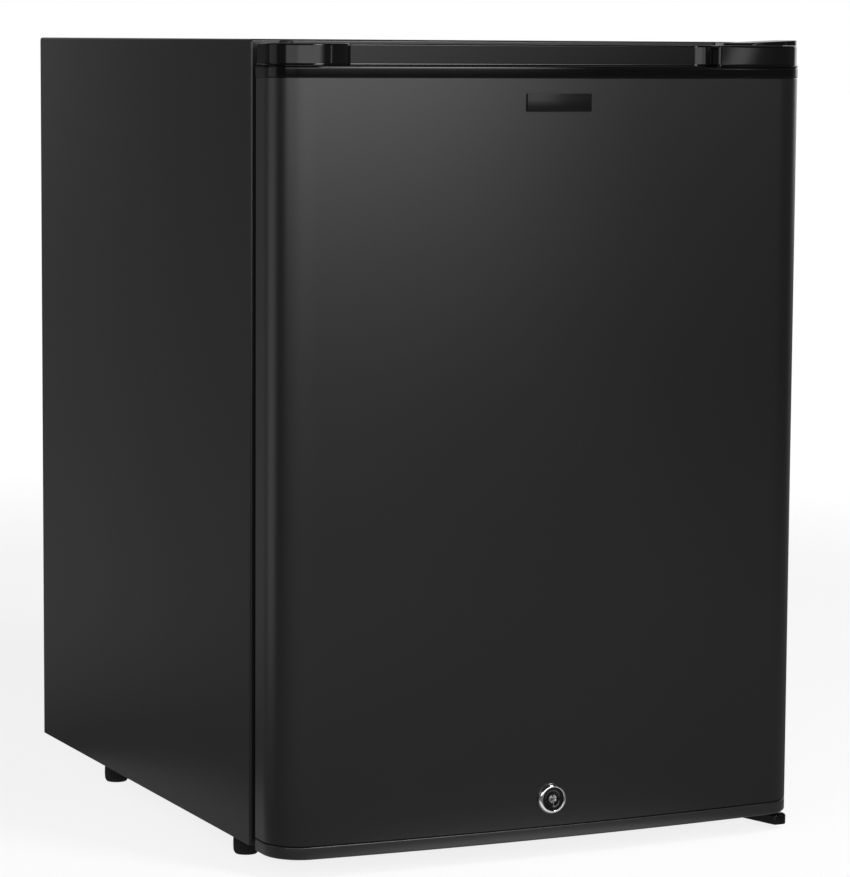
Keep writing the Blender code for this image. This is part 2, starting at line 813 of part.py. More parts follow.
def controls():
    """The housing on the right wall of the cavity, with the thermostat dial and the lamp."""
    face_x = CAVITY_X - HOUSING_DEPTH
    start = FACE + HOUSING_START
    top = CAVITY_TOP - HOUSING_DROP
    z = (top - HOUSING_HEIGHT, top)
    housing = box(
        "control_housing",
        (face_x, CAVITY_X - CLEAR),
        (start, start + HOUSING_LENGTH),
        z,
        WHITE_LINER,
    )
    bevel(housing, LINER / 2)
    middle = sum(z) / 2
    dial_y = start + DIAL_BACK
    shaft_radius = DIAL_RADIUS / 5
    shaft_length = HOUSING_DEPTH / 3
    cut(
        housing,
        rod(
            "shaft_hole",
            (face_x - CLEAR, dial_y, middle),
            (face_x + shaft_length + CLEAR, dial_y, middle),
            shaft_radius + CLEAR,
            sides=16,
        ),
    )
    dial_base = (face_x - CLEAR, dial_y, middle)
    dial = ridged_knob(
        "thermostat_dial",
        [
            (DIAL_RADIUS, 0),
            (DIAL_RADIUS, 0.8 * DIAL_HEIGHT),
            (0.92 * DIAL_RADIUS, DIAL_HEIGHT),
        ],
        18,
        0.05 * DIAL_RADIUS,
        dial_base,
        (-1, 0, 0),
        WHITE_LINER,
    )
    shaft = rod(
        "dial_shaft",
        (face_x - DIAL_HEIGHT / 2, dial_y, middle),
        (face_x + shaft_length, dial_y, middle),
        shaft_radius,
        sides=16,
    )
    join(dial, shaft)
    carry(pivot("dial_axis", dial_base), dial)

    lens_start = dial_y + DIAL_RADIUS + DIAL_HEIGHT
    lens = box(
        "lamp_lens",
        (face_x - CLEAR - LENS_THICKNESS, face_x - CLEAR),
        (lens_start, lens_start + LENS_LENGTH),
        (middle - LENS_HEIGHT / 2, middle + LENS_HEIGHT / 2),
        CLEAR_RACK,
    )
    bevel(lens, LENS_THICKNESS / 3)


def shelf(name, level):
    """A wire shelf that slides forward on the liner's ribs as far as their stops."""
    z = level + CLEAR + SIDE_BAR_RADIUS
    side_x = CAVITY_X - CLEAR - 2 * FRAME_RADIUS
    back = CAVITY_BACK - SHELF_SETBACK - FRAME_RADIUS
    front = back - SHELF_DEPTH + 2 * FRAME_RADIUS
    bar_x = side_x + FRAME_RADIUS / 3
    made = rod(name, (-bar_x, front, z), (bar_x, front, z), FRAME_RADIUS, WHITE_WIRE, sides=8)
    bars = [
        rod(f"{name}_bar_{i}", (-bar_x, y, z), (bar_x, y, z), FRAME_RADIUS, sides=8)
        for i, y in enumerate(((front + back) / 2, back))
    ]
    sides = [
        rod(
            f"{name}_side_{side}",
            (side * side_x, front - 1.3 * FRAME_RADIUS, z),
            (side * side_x, back + 1.3 * FRAME_RADIUS, z),
            SIDE_BAR_RADIUS,
            sides=10,
        )
        for side in (-1, 1)
    ]
    wire_z = z + FRAME_RADIUS + WIRE_RADIUS / 3
    reach = 0.7 * FRAME_RADIUS
    wires = []
    for i in range(WIRE_COUNT):
        x = (i - (WIRE_COUNT - 1) / 2) * WIRE_PITCH
        wires.append(
            rod(
                f"{name}_wire_{i}",
                (x, front - reach, wire_z),
                (x, back + reach, wire_z),
                WIRE_RADIUS,
                sides=6,
            )
        )
    join(made, *bars, *sides, *wires)
    carry(pivot(name + "_slide", (0, front, z)), made)


def evaporator(body):
    """The finned plate on the cavity's rear wall, its drip channel, and the drain to the back."""
    plate_y = (CAVITY_BACK - CLEAR - FIN_BASE, CAVITY_BACK - CLEAR)
    fins = box("evaporator_fins", (-FIN_X, FIN_X), plate_y, FIN_Z, ALUMINIUM)
    pitch = (2 * FIN_X - FIN_THICKNESS) / (FIN_COUNT - 1)
    blades = []
    for i in range(FIN_COUNT):
        x = -FIN_X + i * pitch
        blades.append(
            (
                (x, x + FIN_THICKNESS),
                (plate_y[0] - FIN_DEPTH, plate_y[0] + FIN_BASE / 2),
                (FIN_Z[0], FIN_Z[1] - FIN_BASE),
            )
        )
    join(fins, boxes("fin_blades", blades))

    channel_y = (CAVITY_BACK - CLEAR - CHANNEL_DEPTH, CAVITY_BACK - CLEAR)
    channel = box(
        "drip_channel",
        (-CHANNEL_X, CHANNEL_X),
        channel_y,
        CHANNEL_Z,
        WHITE_LINER,
    )
    trough = box(
        "channel_trough",
        (-CHANNEL_X + LINER, CHANNEL_X - LINER),
        (channel_y[0] + LINER, channel_y[1] - LINER),
        (CHANNEL_Z[0] + LINER, CHANNEL_Z[1] + LINER),
    )
    drain_z = sum(CHANNEL_Z) / 2
    outlet = rod(
        "channel_outlet",
        (DRAIN_X, channel_y[1] - 2 * LINER, drain_z),
        (DRAIN_X, channel_y[1] + LINER, drain_z),
        DRAIN_RADIUS - LINER,
        sides=16,
    )
    cut(channel, trough, outlet)

    drain_y = BULKHEAD + DRAIN_BEHIND
    tray_floor = vessel_top() + CLEAR + TRAY_WALL
    drain_bottom = tray_floor + TRAY_HEIGHT / 2
    start = (DRAIN_X, CAVITY_BACK + CLEAR, drain_z)
    route = rounded_route(
        [start, (DRAIN_X, drain_y, drain_z), (DRAIN_X, drain_y, drain_bottom)], DRAIN_BEND
    )
    tube("drain_tube", route, DRAIN_RADIUS, WHITE_LINER)
    passage = rod(
        "drain_passage",
        (DRAIN_X, CAVITY_BACK - CLEAR / 2, drain_z),
        (DRAIN_X, drain_y, drain_z),
        DRAIN_RADIUS + CLEAR,
        sides=16,
    )
    for name in ("liner", "foam", "bulkhead"):
        cut(body[name], passage)


def vessel_top():
    return BOTTOM + VESSEL_HEIGHT + VESSEL_RADIUS


def capsule(radius, start, end):
    """The profile of a vessel with domed ends, down its outer side."""
    dome = radius / 2
    steps = 5
    upper = [
        (radius * math.sin(turn), end - dome + dome * math.cos(turn))
        for turn in (math.pi / 2 * i / steps for i in range(steps + 1))
    ]
    return upper + [(r, start + end - z) for r, z in reversed(upper)]


def coil_points():
    """The absorber's loops: a long oval that climbs at a steady rate, in from the vessel's top
    and out to the heat exchanger's tube."""
    straight = COIL_HALF_LENGTH - COIL_HALF_DEPTH
    z = BOTTOM + COIL_BOTTOM
    points = []
    for i in range(COIL_TURNS * COIL_STEPS + 1):
        turn = 2 * math.pi * i / COIL_STEPS
        across = math.cos(turn)
        x = COIL_X + COIL_HALF_DEPTH * across + straight * max(-1, min(1, 1.6 * across))
        y = UNIT_Y + COIL_HALF_DEPTH * math.sin(turn)
        points.append(Vector((x, y, z + COIL_PITCH * i / COIL_STEPS)))
    foot = Vector((points[0].x, UNIT_Y, vessel_top() + CLEAR))
    end = Vector((EXCHANGER_X - EXCHANGER_RADIUS - CLEAR, UNIT_Y, points[-1].z))
    return [foot, *points, end]


def least_gap(points, radius):
    """The least gap between stretches of a tube that aren't near each other along it."""
    apart = COIL_STEPS // 2
    least = min(
        (first - second).length
        for i, first in enumerate(points)
        for second in points[i + apart :]
    )
    return least - 2 * radius


def cooling_unit(body):
    """The absorption unit behind the bulkhead, from the boiler round to the absorber."""
    boiler_top = BOTTOM + BOILER_BOTTOM + BOILER_HEIGHT
    rim = BOILER_RADIUS / 12
    turned(
        "boiler_case",
        [
            (0, 0),
            (BOILER_RADIUS - rim, 0),
            (BOILER_RADIUS, -rim),
            (BOILER_RADIUS, rim - BOILER_HEIGHT),
            (BOILER_RADIUS - rim, -BOILER_HEIGHT),
            (0, -BOILER_HEIGHT),
        ],
        (BOILER_X, UNIT_Y, boiler_top),
        (0, 0, 1),
        ZINC,
    )
    tube(
        "rectifier_tube",
        rounded_route(
            [
                (BOILER_X, UNIT_Y, boiler_top + CLEAR),
                (BOILER_X, UNIT_Y, CONDENSER_Z),
                (CONDENSER_X[0] - CLEAR, UNIT_Y, CONDENSER_Z),
            ],
            PIPE_BEND,
        ),
        CONDENSER_RADIUS,
        UNIT_STEEL,
    )
    rod(
        "condenser_tube",
        (CONDENSER_X[0], UNIT_Y, CONDENSER_Z),
        (CONDENSER_X[1], UNIT_Y, CONDENSER_Z),
        CONDENSER_RADIUS,
        UNIT_STEEL,
        sides=16,
    )
    sleeve = rod(
        "condenser_fins",
        (CONDENSER_FIN_X[0], UNIT_Y, CONDENSER_Z),
        (CONDENSER_FIN_X[1], UNIT_Y, CONDENSER_Z),
        CONDENSER_RADIUS + CLEAR + SHEET,
        ALUMINIUM,
        sides=16,
    )
    pitch = (CONDENSER_FIN_X[1] - CONDENSER_FIN_X[0] - 3 * SHEET) / (CONDENSER_FIN_COUNT - 1)
    plates = []
    for i in range(CONDENSER_FIN_COUNT):
        x = CONDENSER_FIN_X[0] + SHEET + i * pitch
        plates.append(
            (
                (x, x + SHEET),
                (UNIT_Y - CONDENSER_FIN, UNIT_Y + CONDENSER_FIN),
                (CONDENSER_Z - CONDENSER_FIN, CONDENSER_Z + CONDENSER_FIN),
            )
        )
    bore = rod(
        "condenser_bore",
        (CONDENSER_FIN_X[0] - SHEET, UNIT_Y, CONDENSER_Z),
        (CONDENSER_FIN_X[1] + SHEET, UNIT_Y, CONDENSER_Z),
        CONDENSER_RADIUS + CLEAR,
        sides=16,
    )
    cut(join(sleeve, boxes("condenser_plates", plates)), bore)

    run_y = BULKHEAD - PIPE_AHEAD
    high = CONDENSER_Z
    low = high - PIPE_DROP
    exchanger_top = low - EXCHANGER_GAP
    tube(
        "evaporator_pipe",
        rounded_route(
            [
                (CONDENSER_X[1] + CLEAR, UNIT_Y, CONDENSER_Z),
                (PIPE_X[1], UNIT_Y, CONDENSER_Z),
                (PIPE_X[1], run_y, high),
                (PIPE_X[0], run_y, high),
                (PIPE_X[0], run_y, low),
                (EXCHANGER_X, run_y, low),
                (EXCHANGER_X, UNIT_Y, low),
                (EXCHANGER_X, UNIT_Y, exchanger_top),
            ],
            PIPE_BEND,
        ),
        PIPE_RADIUS,
        UNIT_STEEL,
    )
    margin = PIPE_RADIUS + 3 * CLEAR
    pocket = box(
        "pipe_pocket",
        (PIPE_X[0] - margin, PIPE_X[1] + margin),
        (run_y - margin, BULKHEAD),
        (low - margin, high + margin),
    )
    cut(body["foam"], pocket)
    slots = boxes(
        "pipe_slots",
        [
            (
                (x - margin, x + margin),
                (BULKHEAD - SHEET, BULKHEAD + 2 * SHEET),
                (z - margin, z + margin),
            )
            for x, z in ((PIPE_X[1], high), (EXCHANGER_X, low))
        ],
    )
    cut(body["bulkhead"], slots)

    rod(
        "heat_exchanger_tube",
        (EXCHANGER_X, UNIT_Y, vessel_top() + CLEAR),
        (EXCHANGER_X, UNIT_Y, exchanger_top - CLEAR),
        EXCHANGER_RADIUS,
        UNIT_STEEL,
        sides=16,
    )
    turned(
        "absorber_vessel",
        capsule(VESSEL_RADIUS, VESSEL_X[0], VESSEL_X[1]),
        (0, UNIT_Y, BOTTOM + VESSEL_HEIGHT),
        (1, 0, 0),
        UNIT_STEEL,
    )
    coil = coil_points()
    tube("absorber_coil", coil, PIPE_RADIUS, UNIT_STEEL, resolution=1)
    print(f"absorber coil, least gap to itself: {least_gap(coil, PIPE_RADIUS) / MM:.2f} mm")

    tray_z = (vessel_top() + CLEAR, vessel_top() + CLEAR + TRAY_HEIGHT)
    tray_y = (BULKHEAD + SHEET + CLEAR, UNIT_Y + VESSEL_RADIUS / 2)
    tray = box("condensate_tray", TRAY_X, tray_y, tray_z, MATT_BLACK)
    basin = box(
        "tray_basin",
        (TRAY_X[0] + TRAY_WALL, TRAY_X[1] - TRAY_WALL),
        (tray_y[0] + TRAY_WALL, tray_y[1] - TRAY_WALL),
        (tray_z[0] + TRAY_WALL, tray_z[1] + TRAY_WALL),
    )
    cut(tray, basin)

    brace_y = UNIT_Y + BOILER_RADIUS + CLEAR
    brace_z = (BOTTOM + VESSEL_HEIGHT - BRACE_HEIGHT / 2, BOTTOM + VESSEL_HEIGHT + BRACE_HEIGHT / 2)
    brace = box(
        "rear_brace",
        (-INSIDE_X, INSIDE_X),
        (brace_y, brace_y + BRACE_THICKNESS),
        brace_z,
        BLACK_STEEL,
    )
    saddle_front = UNIT_Y + VESSEL_RADIUS + CLEAR
    tabs = boxes(
        "brace_tabs",
        [
            (
                sorted((side * INSIDE_X, side * (INSIDE_X - BRACE_THICKNESS))),
                (brace_y - REAR_FLANGE, brace_y + BRACE_THICKNESS / 2),
                brace_z,
            )
            for side in (-1, 1)
        ]
        + [
            (
                (x - REAR_FLANGE, x + REAR_FLANGE),
                (saddle_front, brace_y + BRACE_THICKNESS / 2),
                (brace_z[0], brace_z[1]),
            )
            for x in (0.5 * VESSEL_X[0], 0.5 * VESSEL_X[1])
        ],
    )
    join(brace, tabs)


def mains_connection():
    """The terminal box on the bulkhead, with the socket that a mains lead plugs into."""
    front = BULKHEAD + SHEET + CLEAR
    rear = front + TERMINAL_DEPTH
    z = (BOTTOM + TERMINAL_BOTTOM, BOTTOM + TERMINAL_BOTTOM + TERMINAL_HEIGHT)
    terminal = box("terminal_box", TERMINAL_X, (front, rear), z, MATT_BLACK)
    bevel(terminal, LINER)
    x = sum(TERMINAL_X) / 2
    middle = sum(z) / 2
    body_x = INLET_HALF_WIDTH
    body_z = INLET_HALF_HEIGHT
    hole = box(
        "inlet_hole",
        (x - body_x - CLEAR, x + body_x + CLEAR),
        (rear - INLET_DEPTH - INLET_WALL - CLEAR, rear + CLEAR),
        (middle - body_z - CLEAR, middle + body_z + CLEAR),
    )
    cut(terminal, hole)
    flange = INLET_WALL
    inlet = box(
        "mains_inlet",
        (x - body_x - flange, x + body_x + flange),
        (rear + CLEAR, rear + CLEAR + flange),
        (middle - body_z - flange, middle + body_z + flange),
        MATT_BLACK,
    )
    shank = box(
        "inlet_shank",
        (x - body_x, x + body_x),
        (rear - INLET_DEPTH - INLET_WALL, rear + CLEAR + flange / 2),
        (middle - body_z, middle + body_z),
    )
    socket = box(
        "inlet_socket",
        (x - body_x + INLET_WALL, x + body_x - INLET_WALL),
        (rear - INLET_DEPTH, rear + 3 * flange),
        (middle - body_z + INLET_WALL, middle + body_z - INLET_WALL),
    )
    bevel(socket, LINER)
    blade_rear = rear - INLET_WALL
    blades = boxes(
        "inlet_blades",
        [
            (
                (x + across - SHEET, x + across + SHEET),
                (rear - INLET_DEPTH - SHEET, blade_rear),
                (middle + up - 2 * SHEET, middle + up + 2 * SHEET),
            )
            for across, up in ((-7 * MM, -3 * MM), (0, 4 * MM), (7 * MM, -3 * MM))
        ],
    )
    join(inlet, shank)
    cut(inlet, socket)
    join(inlet, blades)


def hinge_arm_outline(half, front, rear, radius):
    """An arm in plan, centred on the hinge's axis, with round corners at its front."""
    steps = 5
    points = [(HINGE_X - half, rear)]
    for start, centre_x in ((math.pi, HINGE_X - half + radius), (1.5 * math.pi, HINGE_X + half - radius)):
        for i in range(steps + 1):
            turn = start + math.pi / 2 * i / steps
            points.append(
                (centre_x + radius * math.cos(turn), front + radius + radius * math.sin(turn))
            )
    points.append((HINGE_X + half, rear))
    return points


def hinges(body):
    """Both hinge brackets with their pins, screws and the upper one's cover."""
    arm_front = HINGE_Y - ARM_AHEAD
    leaf_x = (HINGE_X + LOWER_ARM_HALF - LEAF_LENGTH, HINGE_X + LOWER_ARM_HALF)
    screw_x = (leaf_x[0] + SCREW_HEAD * 2.5, leaf_x[0] + SCREW_HEAD * 2.5 + SCREW_PITCH)

    arm_z = (DOOR_TOP + CLEAR, DOOR_TOP + CLEAR + LEAF)
    leaf_z = (arm_z[1] - LEAF_DROP, arm_z[1])
    upper = box(
        "upper_hinge_bracket",
        leaf_x,
        (FACE - CLEAR - LEAF, FACE - CLEAR),
        leaf_z,
        ZINC,
    )
    upper_outline = hinge_arm_outline(UPPER_ARM_HALF, arm_front, FACE - CLEAR, UPPER_ARM_HALF * 0.9)
    pin_hole = rod(
        "upper_pin_hole",
        (HINGE_X, HINGE_Y, arm_z[0] - LEAF),
        (HINGE_X, HINGE_Y, arm_z[1] + LEAF),
        PIN_RADIUS + CLEAR,
    )
    join(upper, prism("upper_arm", upper_outline, arm_z))
    cut(upper, pin_hole)
    pin_bottom = DOOR_TOP - PIN_REACH
    rod(
        "upper_hinge_pin",
        (HINGE_X, HINGE_Y, pin_bottom),
        (HINGE_X, HINGE_Y, arm_z[1]),
        PIN_RADIUS,
        CHROME,
    )

    lower_top = BOTTOM - LOWER_ARM_TOP
    lower_z = (lower_top - LOWER_ARM_HEIGHT, lower_top)
    lower = box(
        "lower_hinge_bracket",
        (leaf_x[0], leaf_x[1] - CLEAR),
        (FACE - CLEAR - LOWER_LEAF, FACE - CLEAR),
        (lower_z[0] + LOWER_LEAF, BOTTOM + LOWER_LEAF_RISE),
        BLACK_STEEL,
    )
    arm = prism(
        "lower_arm",
        hinge_arm_outline(
            LOWER_ARM_HALF, arm_front - LOWER_LEAF, FACE - CLEAR - LOWER_LEAF / 3, ARM_RADIUS
        ),
        lower_z,
    )
    bevel(arm, LOWER_LEAF / 2)
    hollow = prism(
        "lower_arm_hollow",
        hinge_arm_outline(
            LOWER_ARM_HALF - LOWER_LEAF,
            arm_front,
            FACE - CLEAR - LOWER_LEAF - CLEAR,
            ARM_RADIUS - LOWER_LEAF,
        ),
        (lower_z[0] - LOWER_LEAF, lower_z[1] - LOWER_LEAF),
    )
    lower_pin_hole = rod(
        "lower_pin_hole",
        (HINGE_X, HINGE_Y, lower_z[0] - LEAF),
        (HINGE_X, HINGE_Y, lower_z[1] + LEAF),
        PIN_RADIUS + CLEAR,
    )
    cut(join(lower, arm), hollow, lower_pin_hole)
    rod(
        "lower_hinge_pin",
        (HINGE_X, HINGE_Y, lower_z[1] - LOWER_LEAF),
        (HINGE_X, HINGE_Y, DOOR_BOTTOM + PIN_REACH - DOOR_DROP),
        PIN_RADIUS,
        CHROME,
    )

    upper_screw_z = leaf_z[0] + 0.4 * LEAF_DROP
    lower_screw_z = BOTTOM + LOWER_LEAF_RISE / 2
    for place, face, z, bracket in (
        ("upper", FACE - CLEAR - LEAF, upper_screw_z, upper),
        ("lower", FACE - CLEAR - LOWER_LEAF, lower_screw_z, lower),
    ):
        for side, x in zip(("inner", "outer"), screw_x):
            _, hole = screw(f"{place}_hinge_screw_{side}", x, face, z, SCREW_LENGTH)
            for target in (bracket, body["shell"], body["foam"], body["pan"]):
                cut(target, hole)

    cover_x = (leaf_x[0] + 7 * MM, HALF_WIDTH - CLEAR)
    cover_base = DOOR_TOP + CLEAR
    pocket_top = arm_z[1] + CLEAR
    low = pocket_top + COVER_WALL - COVER_SLOPE * (HINGE_X - UPPER_ARM_HALF - cover_x[0])
    high = low + COVER_SLOPE * (cover_x[1] - cover_x[0])
    rounding = 2 * COVER_WALL
    profile = [
        (cover_x[0], cover_base),
        (cover_x[1], cover_base),
        (cover_x[1], high - rounding),
        (cover_x[1] - 0.3 * rounding, high - 0.4 * rounding),
        (cover_x[1] - rounding, high),
        (cover_x[0] + 2 * rounding, low),
        (cover_x[0] + 0.6 * rounding, low - 0.3 * rounding),
    ]
    cover = prism(
        "upper_hinge_cover",
        profile,
        (arm_front - COVER_WALL - CLEAR - ARM_RADIUS / 4, FACE - CLEAR),
        GLOSS_BLACK,
        axis="Y",
    )
    room = prism(
        "cover_room",
        hinge_arm_outline(
            UPPER_ARM_HALF + CLEAR, arm_front - CLEAR, FACE + CLEAR, UPPER_ARM_HALF * 0.9
        ),
        (cover_base - CLEAR, pocket_top),
    )
    leaf_room = box(
        "cover_leaf_room",
        (leaf_x[0] - CLEAR, leaf_x[1] + CLEAR),
        (FACE - 2 * CLEAR - LEAF, FACE + CLEAR),
        (cover_base - CLEAR, pocket_top),
    )
    cut(cover, room, leaf_room)


def bush(name, z):
    """A plastic sleeve in the door, round a hinge pin."""
    low, high = z
    profile = [
        (BUSH_RADIUS, high),
        (BUSH_RADIUS, low),
        (PIN_RADIUS + CLEAR, low),
        (PIN_RADIUS + CLEAR, high),
    ]
    return turned(name, profile, (HINGE_X, HINGE_Y, 0), (0, 0, 1), WHITE_LINER, ring=True)


def grip_outline(grow):
    """The finger recess in plan, open to the front: rounded into its rear wall, and flared
    where its sides meet the door's front. Grow moves every wall outwards."""
    left = -HALF_WIDTH + GRIP_LEFT - grow
    right = HALF_WIDTH - GRIP_RIGHT + grow
    wall = DOOR_FRONT + GRIP_DEPTH + grow
    lip_y = DOOR_FRONT + DOOR_BOW * (left / HALF_WIDTH) ** 2
    right_lip_y = DOOR_FRONT + DOOR_BOW * (right / HALF_WIDTH) ** 2
    fillet = GRIP_FILLET
    steps = 6
    ahead = DOOR_FRONT - GRIP_DEPTH
    points = [(left - GRIP_LIP, ahead)]
    for i in range(steps + 1):
        turn = math.pi / 2 * i / steps
        points.append(
            (left - GRIP_LIP + GRIP_LIP * math.sin(turn), lip_y + GRIP_LIP - GRIP_LIP * math.cos(turn))
        )
    for i in range(steps + 1):
        turn = math.pi / 2 * i / steps
        points.append(
            (left + fillet - fillet * math.cos(turn), wall - fillet + fillet * math.sin(turn))
        )
    for i in range(steps + 1):
        turn = math.pi / 2 * i / steps
        points.append(
            (right - fillet + fillet * math.sin(turn), wall - fillet + fillet * math.cos(turn))
        )
    for i in range(steps + 1):
        turn = math.pi / 2 * (1 - i / steps)
        points.append(
            (
                right + GRIP_LIP - GRIP_LIP * math.sin(turn),
                right_lip_y + GRIP_LIP - GRIP_LIP * math.cos(turn),
            )
        )
    points.append((right + GRIP_LIP, ahead))
    return points


def door_shell():
    """The steel skin, its two plastic end trims, the foam core and the liner."""
    strip = [(-HALF_WIDTH + DOOR_RETURN, DOOR_REAR), *door_outline(0)]
    strip.append((HALF_WIDTH - DOOR_RETURN, DOOR_REAR))
    mesh = bpy.data.meshes.new("door_skin")
    shape = bmesh.new()
    row = [shape.verts.new((x, y, SKIN_BOTTOM)) for x, y in strip]
    edges = [shape.edges.new(pair) for pair in zip(row, row[1:])]
    made = bmesh.ops.extrude_edge_only(shape, edges=edges)
    raised = [item for item in made["geom"] if isinstance(item, bmesh.types.BMVert)]
    bmesh.ops.translate(shape, vec=(0, 0, SKIN_TOP - SKIN_BOTTOM), verts=raised)
    bmesh.ops.recalc_face_normals(shape, faces=shape.faces)
    front = min(shape.faces, key=lambda face: face.calc_center_median().y)
    if front.normal.y > 0:
        bmesh.ops.reverse_faces(shape, faces=shape.faces)
    shape.to_mesh(mesh)
    shape.free()
    skin = placed(bpy.data.objects.new("door_skin", mesh), BLACK_SKIN)
    smooth(skin)
    wall = skin.modifiers.new("wall", "SOLIDIFY")
    wall.thickness = SHEET
    wall.offset = -1
    wall.use_even_offset = True

    boss = rod(
        "hinge_boss", (HINGE_X, HINGE_Y, DOOR_BOTTOM), (HINGE_X, HINGE_Y, DOOR_TOP), BOSS_RADIUS
    )
    inset = door_outline(TRIM_WALL, DOOR_REAR - TRIM_WALL)

    band = prism("door_top_trim", door_outline(-BAND_OVERHANG), (BAND_BOTTOM, LEDGE), GLOSS_BLACK)
    bevel(band, 0.8 * MM)
    tier_overlap = BAND_HEIGHT / 4
    tier = prism("trim_tier", door_outline(TIER_INSET), (LEDGE - tier_overlap, DOOR_TOP))
    bevel(tier, MM)
    grip = prism("grip", grip_outline(0), (LEDGE, DOOR_TOP + TIER_HEIGHT))
    grip_guard = prism(
        "grip_guard", grip_outline(TRIM_WALL), (LEDGE - TRIM_WALL, DOOR_TOP + TIER_HEIGHT)
    )
    room = prism("top_trim_room", inset, (BAND_BOTTOM - TRIM_WALL, DOOR_TOP - TRIM_WALL))
    cut(room, grip_guard, boss)
    upper_hole = rod(
        "upper_bush_hole",
        (HINGE_X, HINGE_Y, DOOR_TOP - PIN_REACH - CLEAR),
        (HINGE_X, HINGE_Y, DOOR_TOP + CLEAR),
        BUSH_RADIUS + CLEAR,
    )
    cut(join(band, tier), grip, room, upper_hole)

    lower = prism("door_bottom_trim", door_outline(0), (DOOR_BOTTOM, BOTTOM_TRIM_TOP), GLOSS_BLACK)
    bevel(lower, MM)
    lower_room = prism(
        "bottom_trim_room", inset, (DOOR_BOTTOM + TRIM_WALL, BOTTOM_TRIM_TOP + TRIM_WALL)
    )
    cut(lower_room, boss)
    lower_hole = rod(
        "lower_bush_hole",
        (HINGE_X, HINGE_Y, DOOR_BOTTOM - CLEAR),
        (HINGE_X, HINGE_Y, BOTTOM_TRIM_TOP - CLEAR),
        BUSH_RADIUS + CLEAR,
    )
    cut(lower, lower_room, lower_hole)
    bushes = [
        bush("upper_hinge_bush", (DOOR_TOP - PIN_REACH, DOOR_TOP - CLEAR)),
        bush("lower_hinge_bush", (DOOR_BOTTOM + CLEAR, BOTTOM_TRIM_TOP - 2 * CLEAR)),
    ]

    foam_inset = SHEET + CLEAR
    foam_z = (BOTTOM_TRIM_TOP + CLEAR, SKIN_TOP)
    foam = prism("door_foam", door_outline(foam_inset, PLATE_FRONT - CLEAR), foam_z, FOAM)

    plate_x = HALF_WIDTH - SHEET - CLEAR
    liner = box("door_liner", (-plate_x, plate_x), (PLATE_FRONT, PLATE_REAR), foam_z, WHITE_LINER)
    ring = box(
        "ring", (-RING_X, RING_X), (PLATE_FRONT, FACE + RING_REACH), RING_Z
    )
    bevel(ring, RING_FILLET, 3)
    ring_gap = PLATE_FRONT + (RING_FILLET + LINER)
    ring_body = box("ring_foot", (-RING_X, RING_X), (PLATE_FRONT, ring_gap), RING_Z)
    hollow = box(
        "ring_hollow",
        (-RING_X + LINER, RING_X - LINER),
        (PLATE_FRONT - LINER, FACE + RING_REACH - LINER),
        (RING_Z[0] + LINER, RING_Z[1] - LINER),
    )
    bevel(hollow, RING_FILLET - LINER, 2)
    tray_z = (RING_Z[0] + RING_WIDTH, RING_Z[1] - RING_WIDTH)
    core = box(
        "ring_core",
        (-RACK_X - LINER, RACK_X + LINER),
        (PLATE_FRONT - 2 * LINER, FACE + 2 * RING_REACH),
        (tray_z[0] - LINER, tray_z[1] + LINER),
    )
    cut(hollow, core)
    middle = box(
        "ring_middle", (-RACK_X, RACK_X), (PLATE_REAR, FACE + 2 * RING_REACH), tray_z
    )
    join(liner, ring, ring_body)
    cut(liner, hollow, middle)

    lugs = []
    for level in RACK_LEVELS.values():
        for side in (-1, 1):
            lugs.append(
                (
                    sorted((side * (RACK_X - LUG_SIZE), side * (RACK_X + LINER / 2))),
                    (PLATE_REAR - LINER / 2, FACE + RING_REACH - RING_FILLET),
                    (BOTTOM + level - LUG_SIZE, BOTTOM + level),
                )
            )
    join(liner, boxes("rack_lugs", lugs))
    return [skin, band, lower, foam, liner, *bushes], foam, skin, liner


def gasket():
    """The magnetic seal round the door's liner, with its folds on both sides."""
    x = HALF_WIDTH - GASKET_INSET
    y = (PLATE_REAR + CLEAR, FACE - CLEAR)
    z = (BOTTOM + GASKET_BOTTOM, TOP - GASKET_TOP)
    seal = box("door_gasket", (-x, x), y, z, BLACK_RUBBER)
    width = GASKET_WIDTH
    inner = box(
        "gasket_inner", (-x + width, x - width), (y[0] - width, y[1] + width), (z[0] + width, z[1] - width)
    )
    fold = (y[1] - y[0]) / 6
    groove_y = (sum(y) / 2 - fold, sum(y) / 2 + fold)
    outer_groove = box("gasket_outside", (-x - width, x + width), groove_y, (z[0] - width, z[1] + width))
    kept = box("gasket_kept", (-x + fold, x - fold), (y[0], y[1]), (z[0] + fold, z[1] - fold))
    cut(outer_groove, kept)
    inner_groove = box(
        "gasket_inside",
        (-x + width - fold, x - width + fold),
        groove_y,
        (z[0] + width - fold, z[1] - width + fold),
    )
    cut(seal, inner, outer_groove, inner_groove)
    return seal


def bottle_rack(name, level):
    """A tray that hangs inside the door liner's ring, on two lugs."""
    z = (BOTTOM + level + CLEAR, BOTTOM + level + CLEAR + RACK_HEIGHT)
    x = RACK_X - CLEAR
    y = (PLATE_REAR + CLEAR, FACE + RACK_REACH)
    rack = box(name, (-x, x), y, z, CLEAR_RACK)
    bevel(rack, RACK_WALL, 2)
    inside = box(
        name + "_inside",
        (-x + RACK_WALL, x - RACK_WALL),
        (y[0] + RACK_WALL, y[1] - RACK_WALL),
        (z[0] + RACK_WALL, z[1] + RACK_WALL),
    )
    bevel(inside, 0.8 * RACK_WALL, 2)
    lip_drop = RACK_HEIGHT / 3
    low_front = box(
        name + "_front",
        (-x + 6 * RACK_WALL, x - 6 * RACK_WALL),
        (y[1] - 2 * RACK_WALL, y[1] + RACK_WALL),
        (z[1] - lip_drop, z[1] + RACK_WALL),
    )
    return cut(rack, inside, low_front)


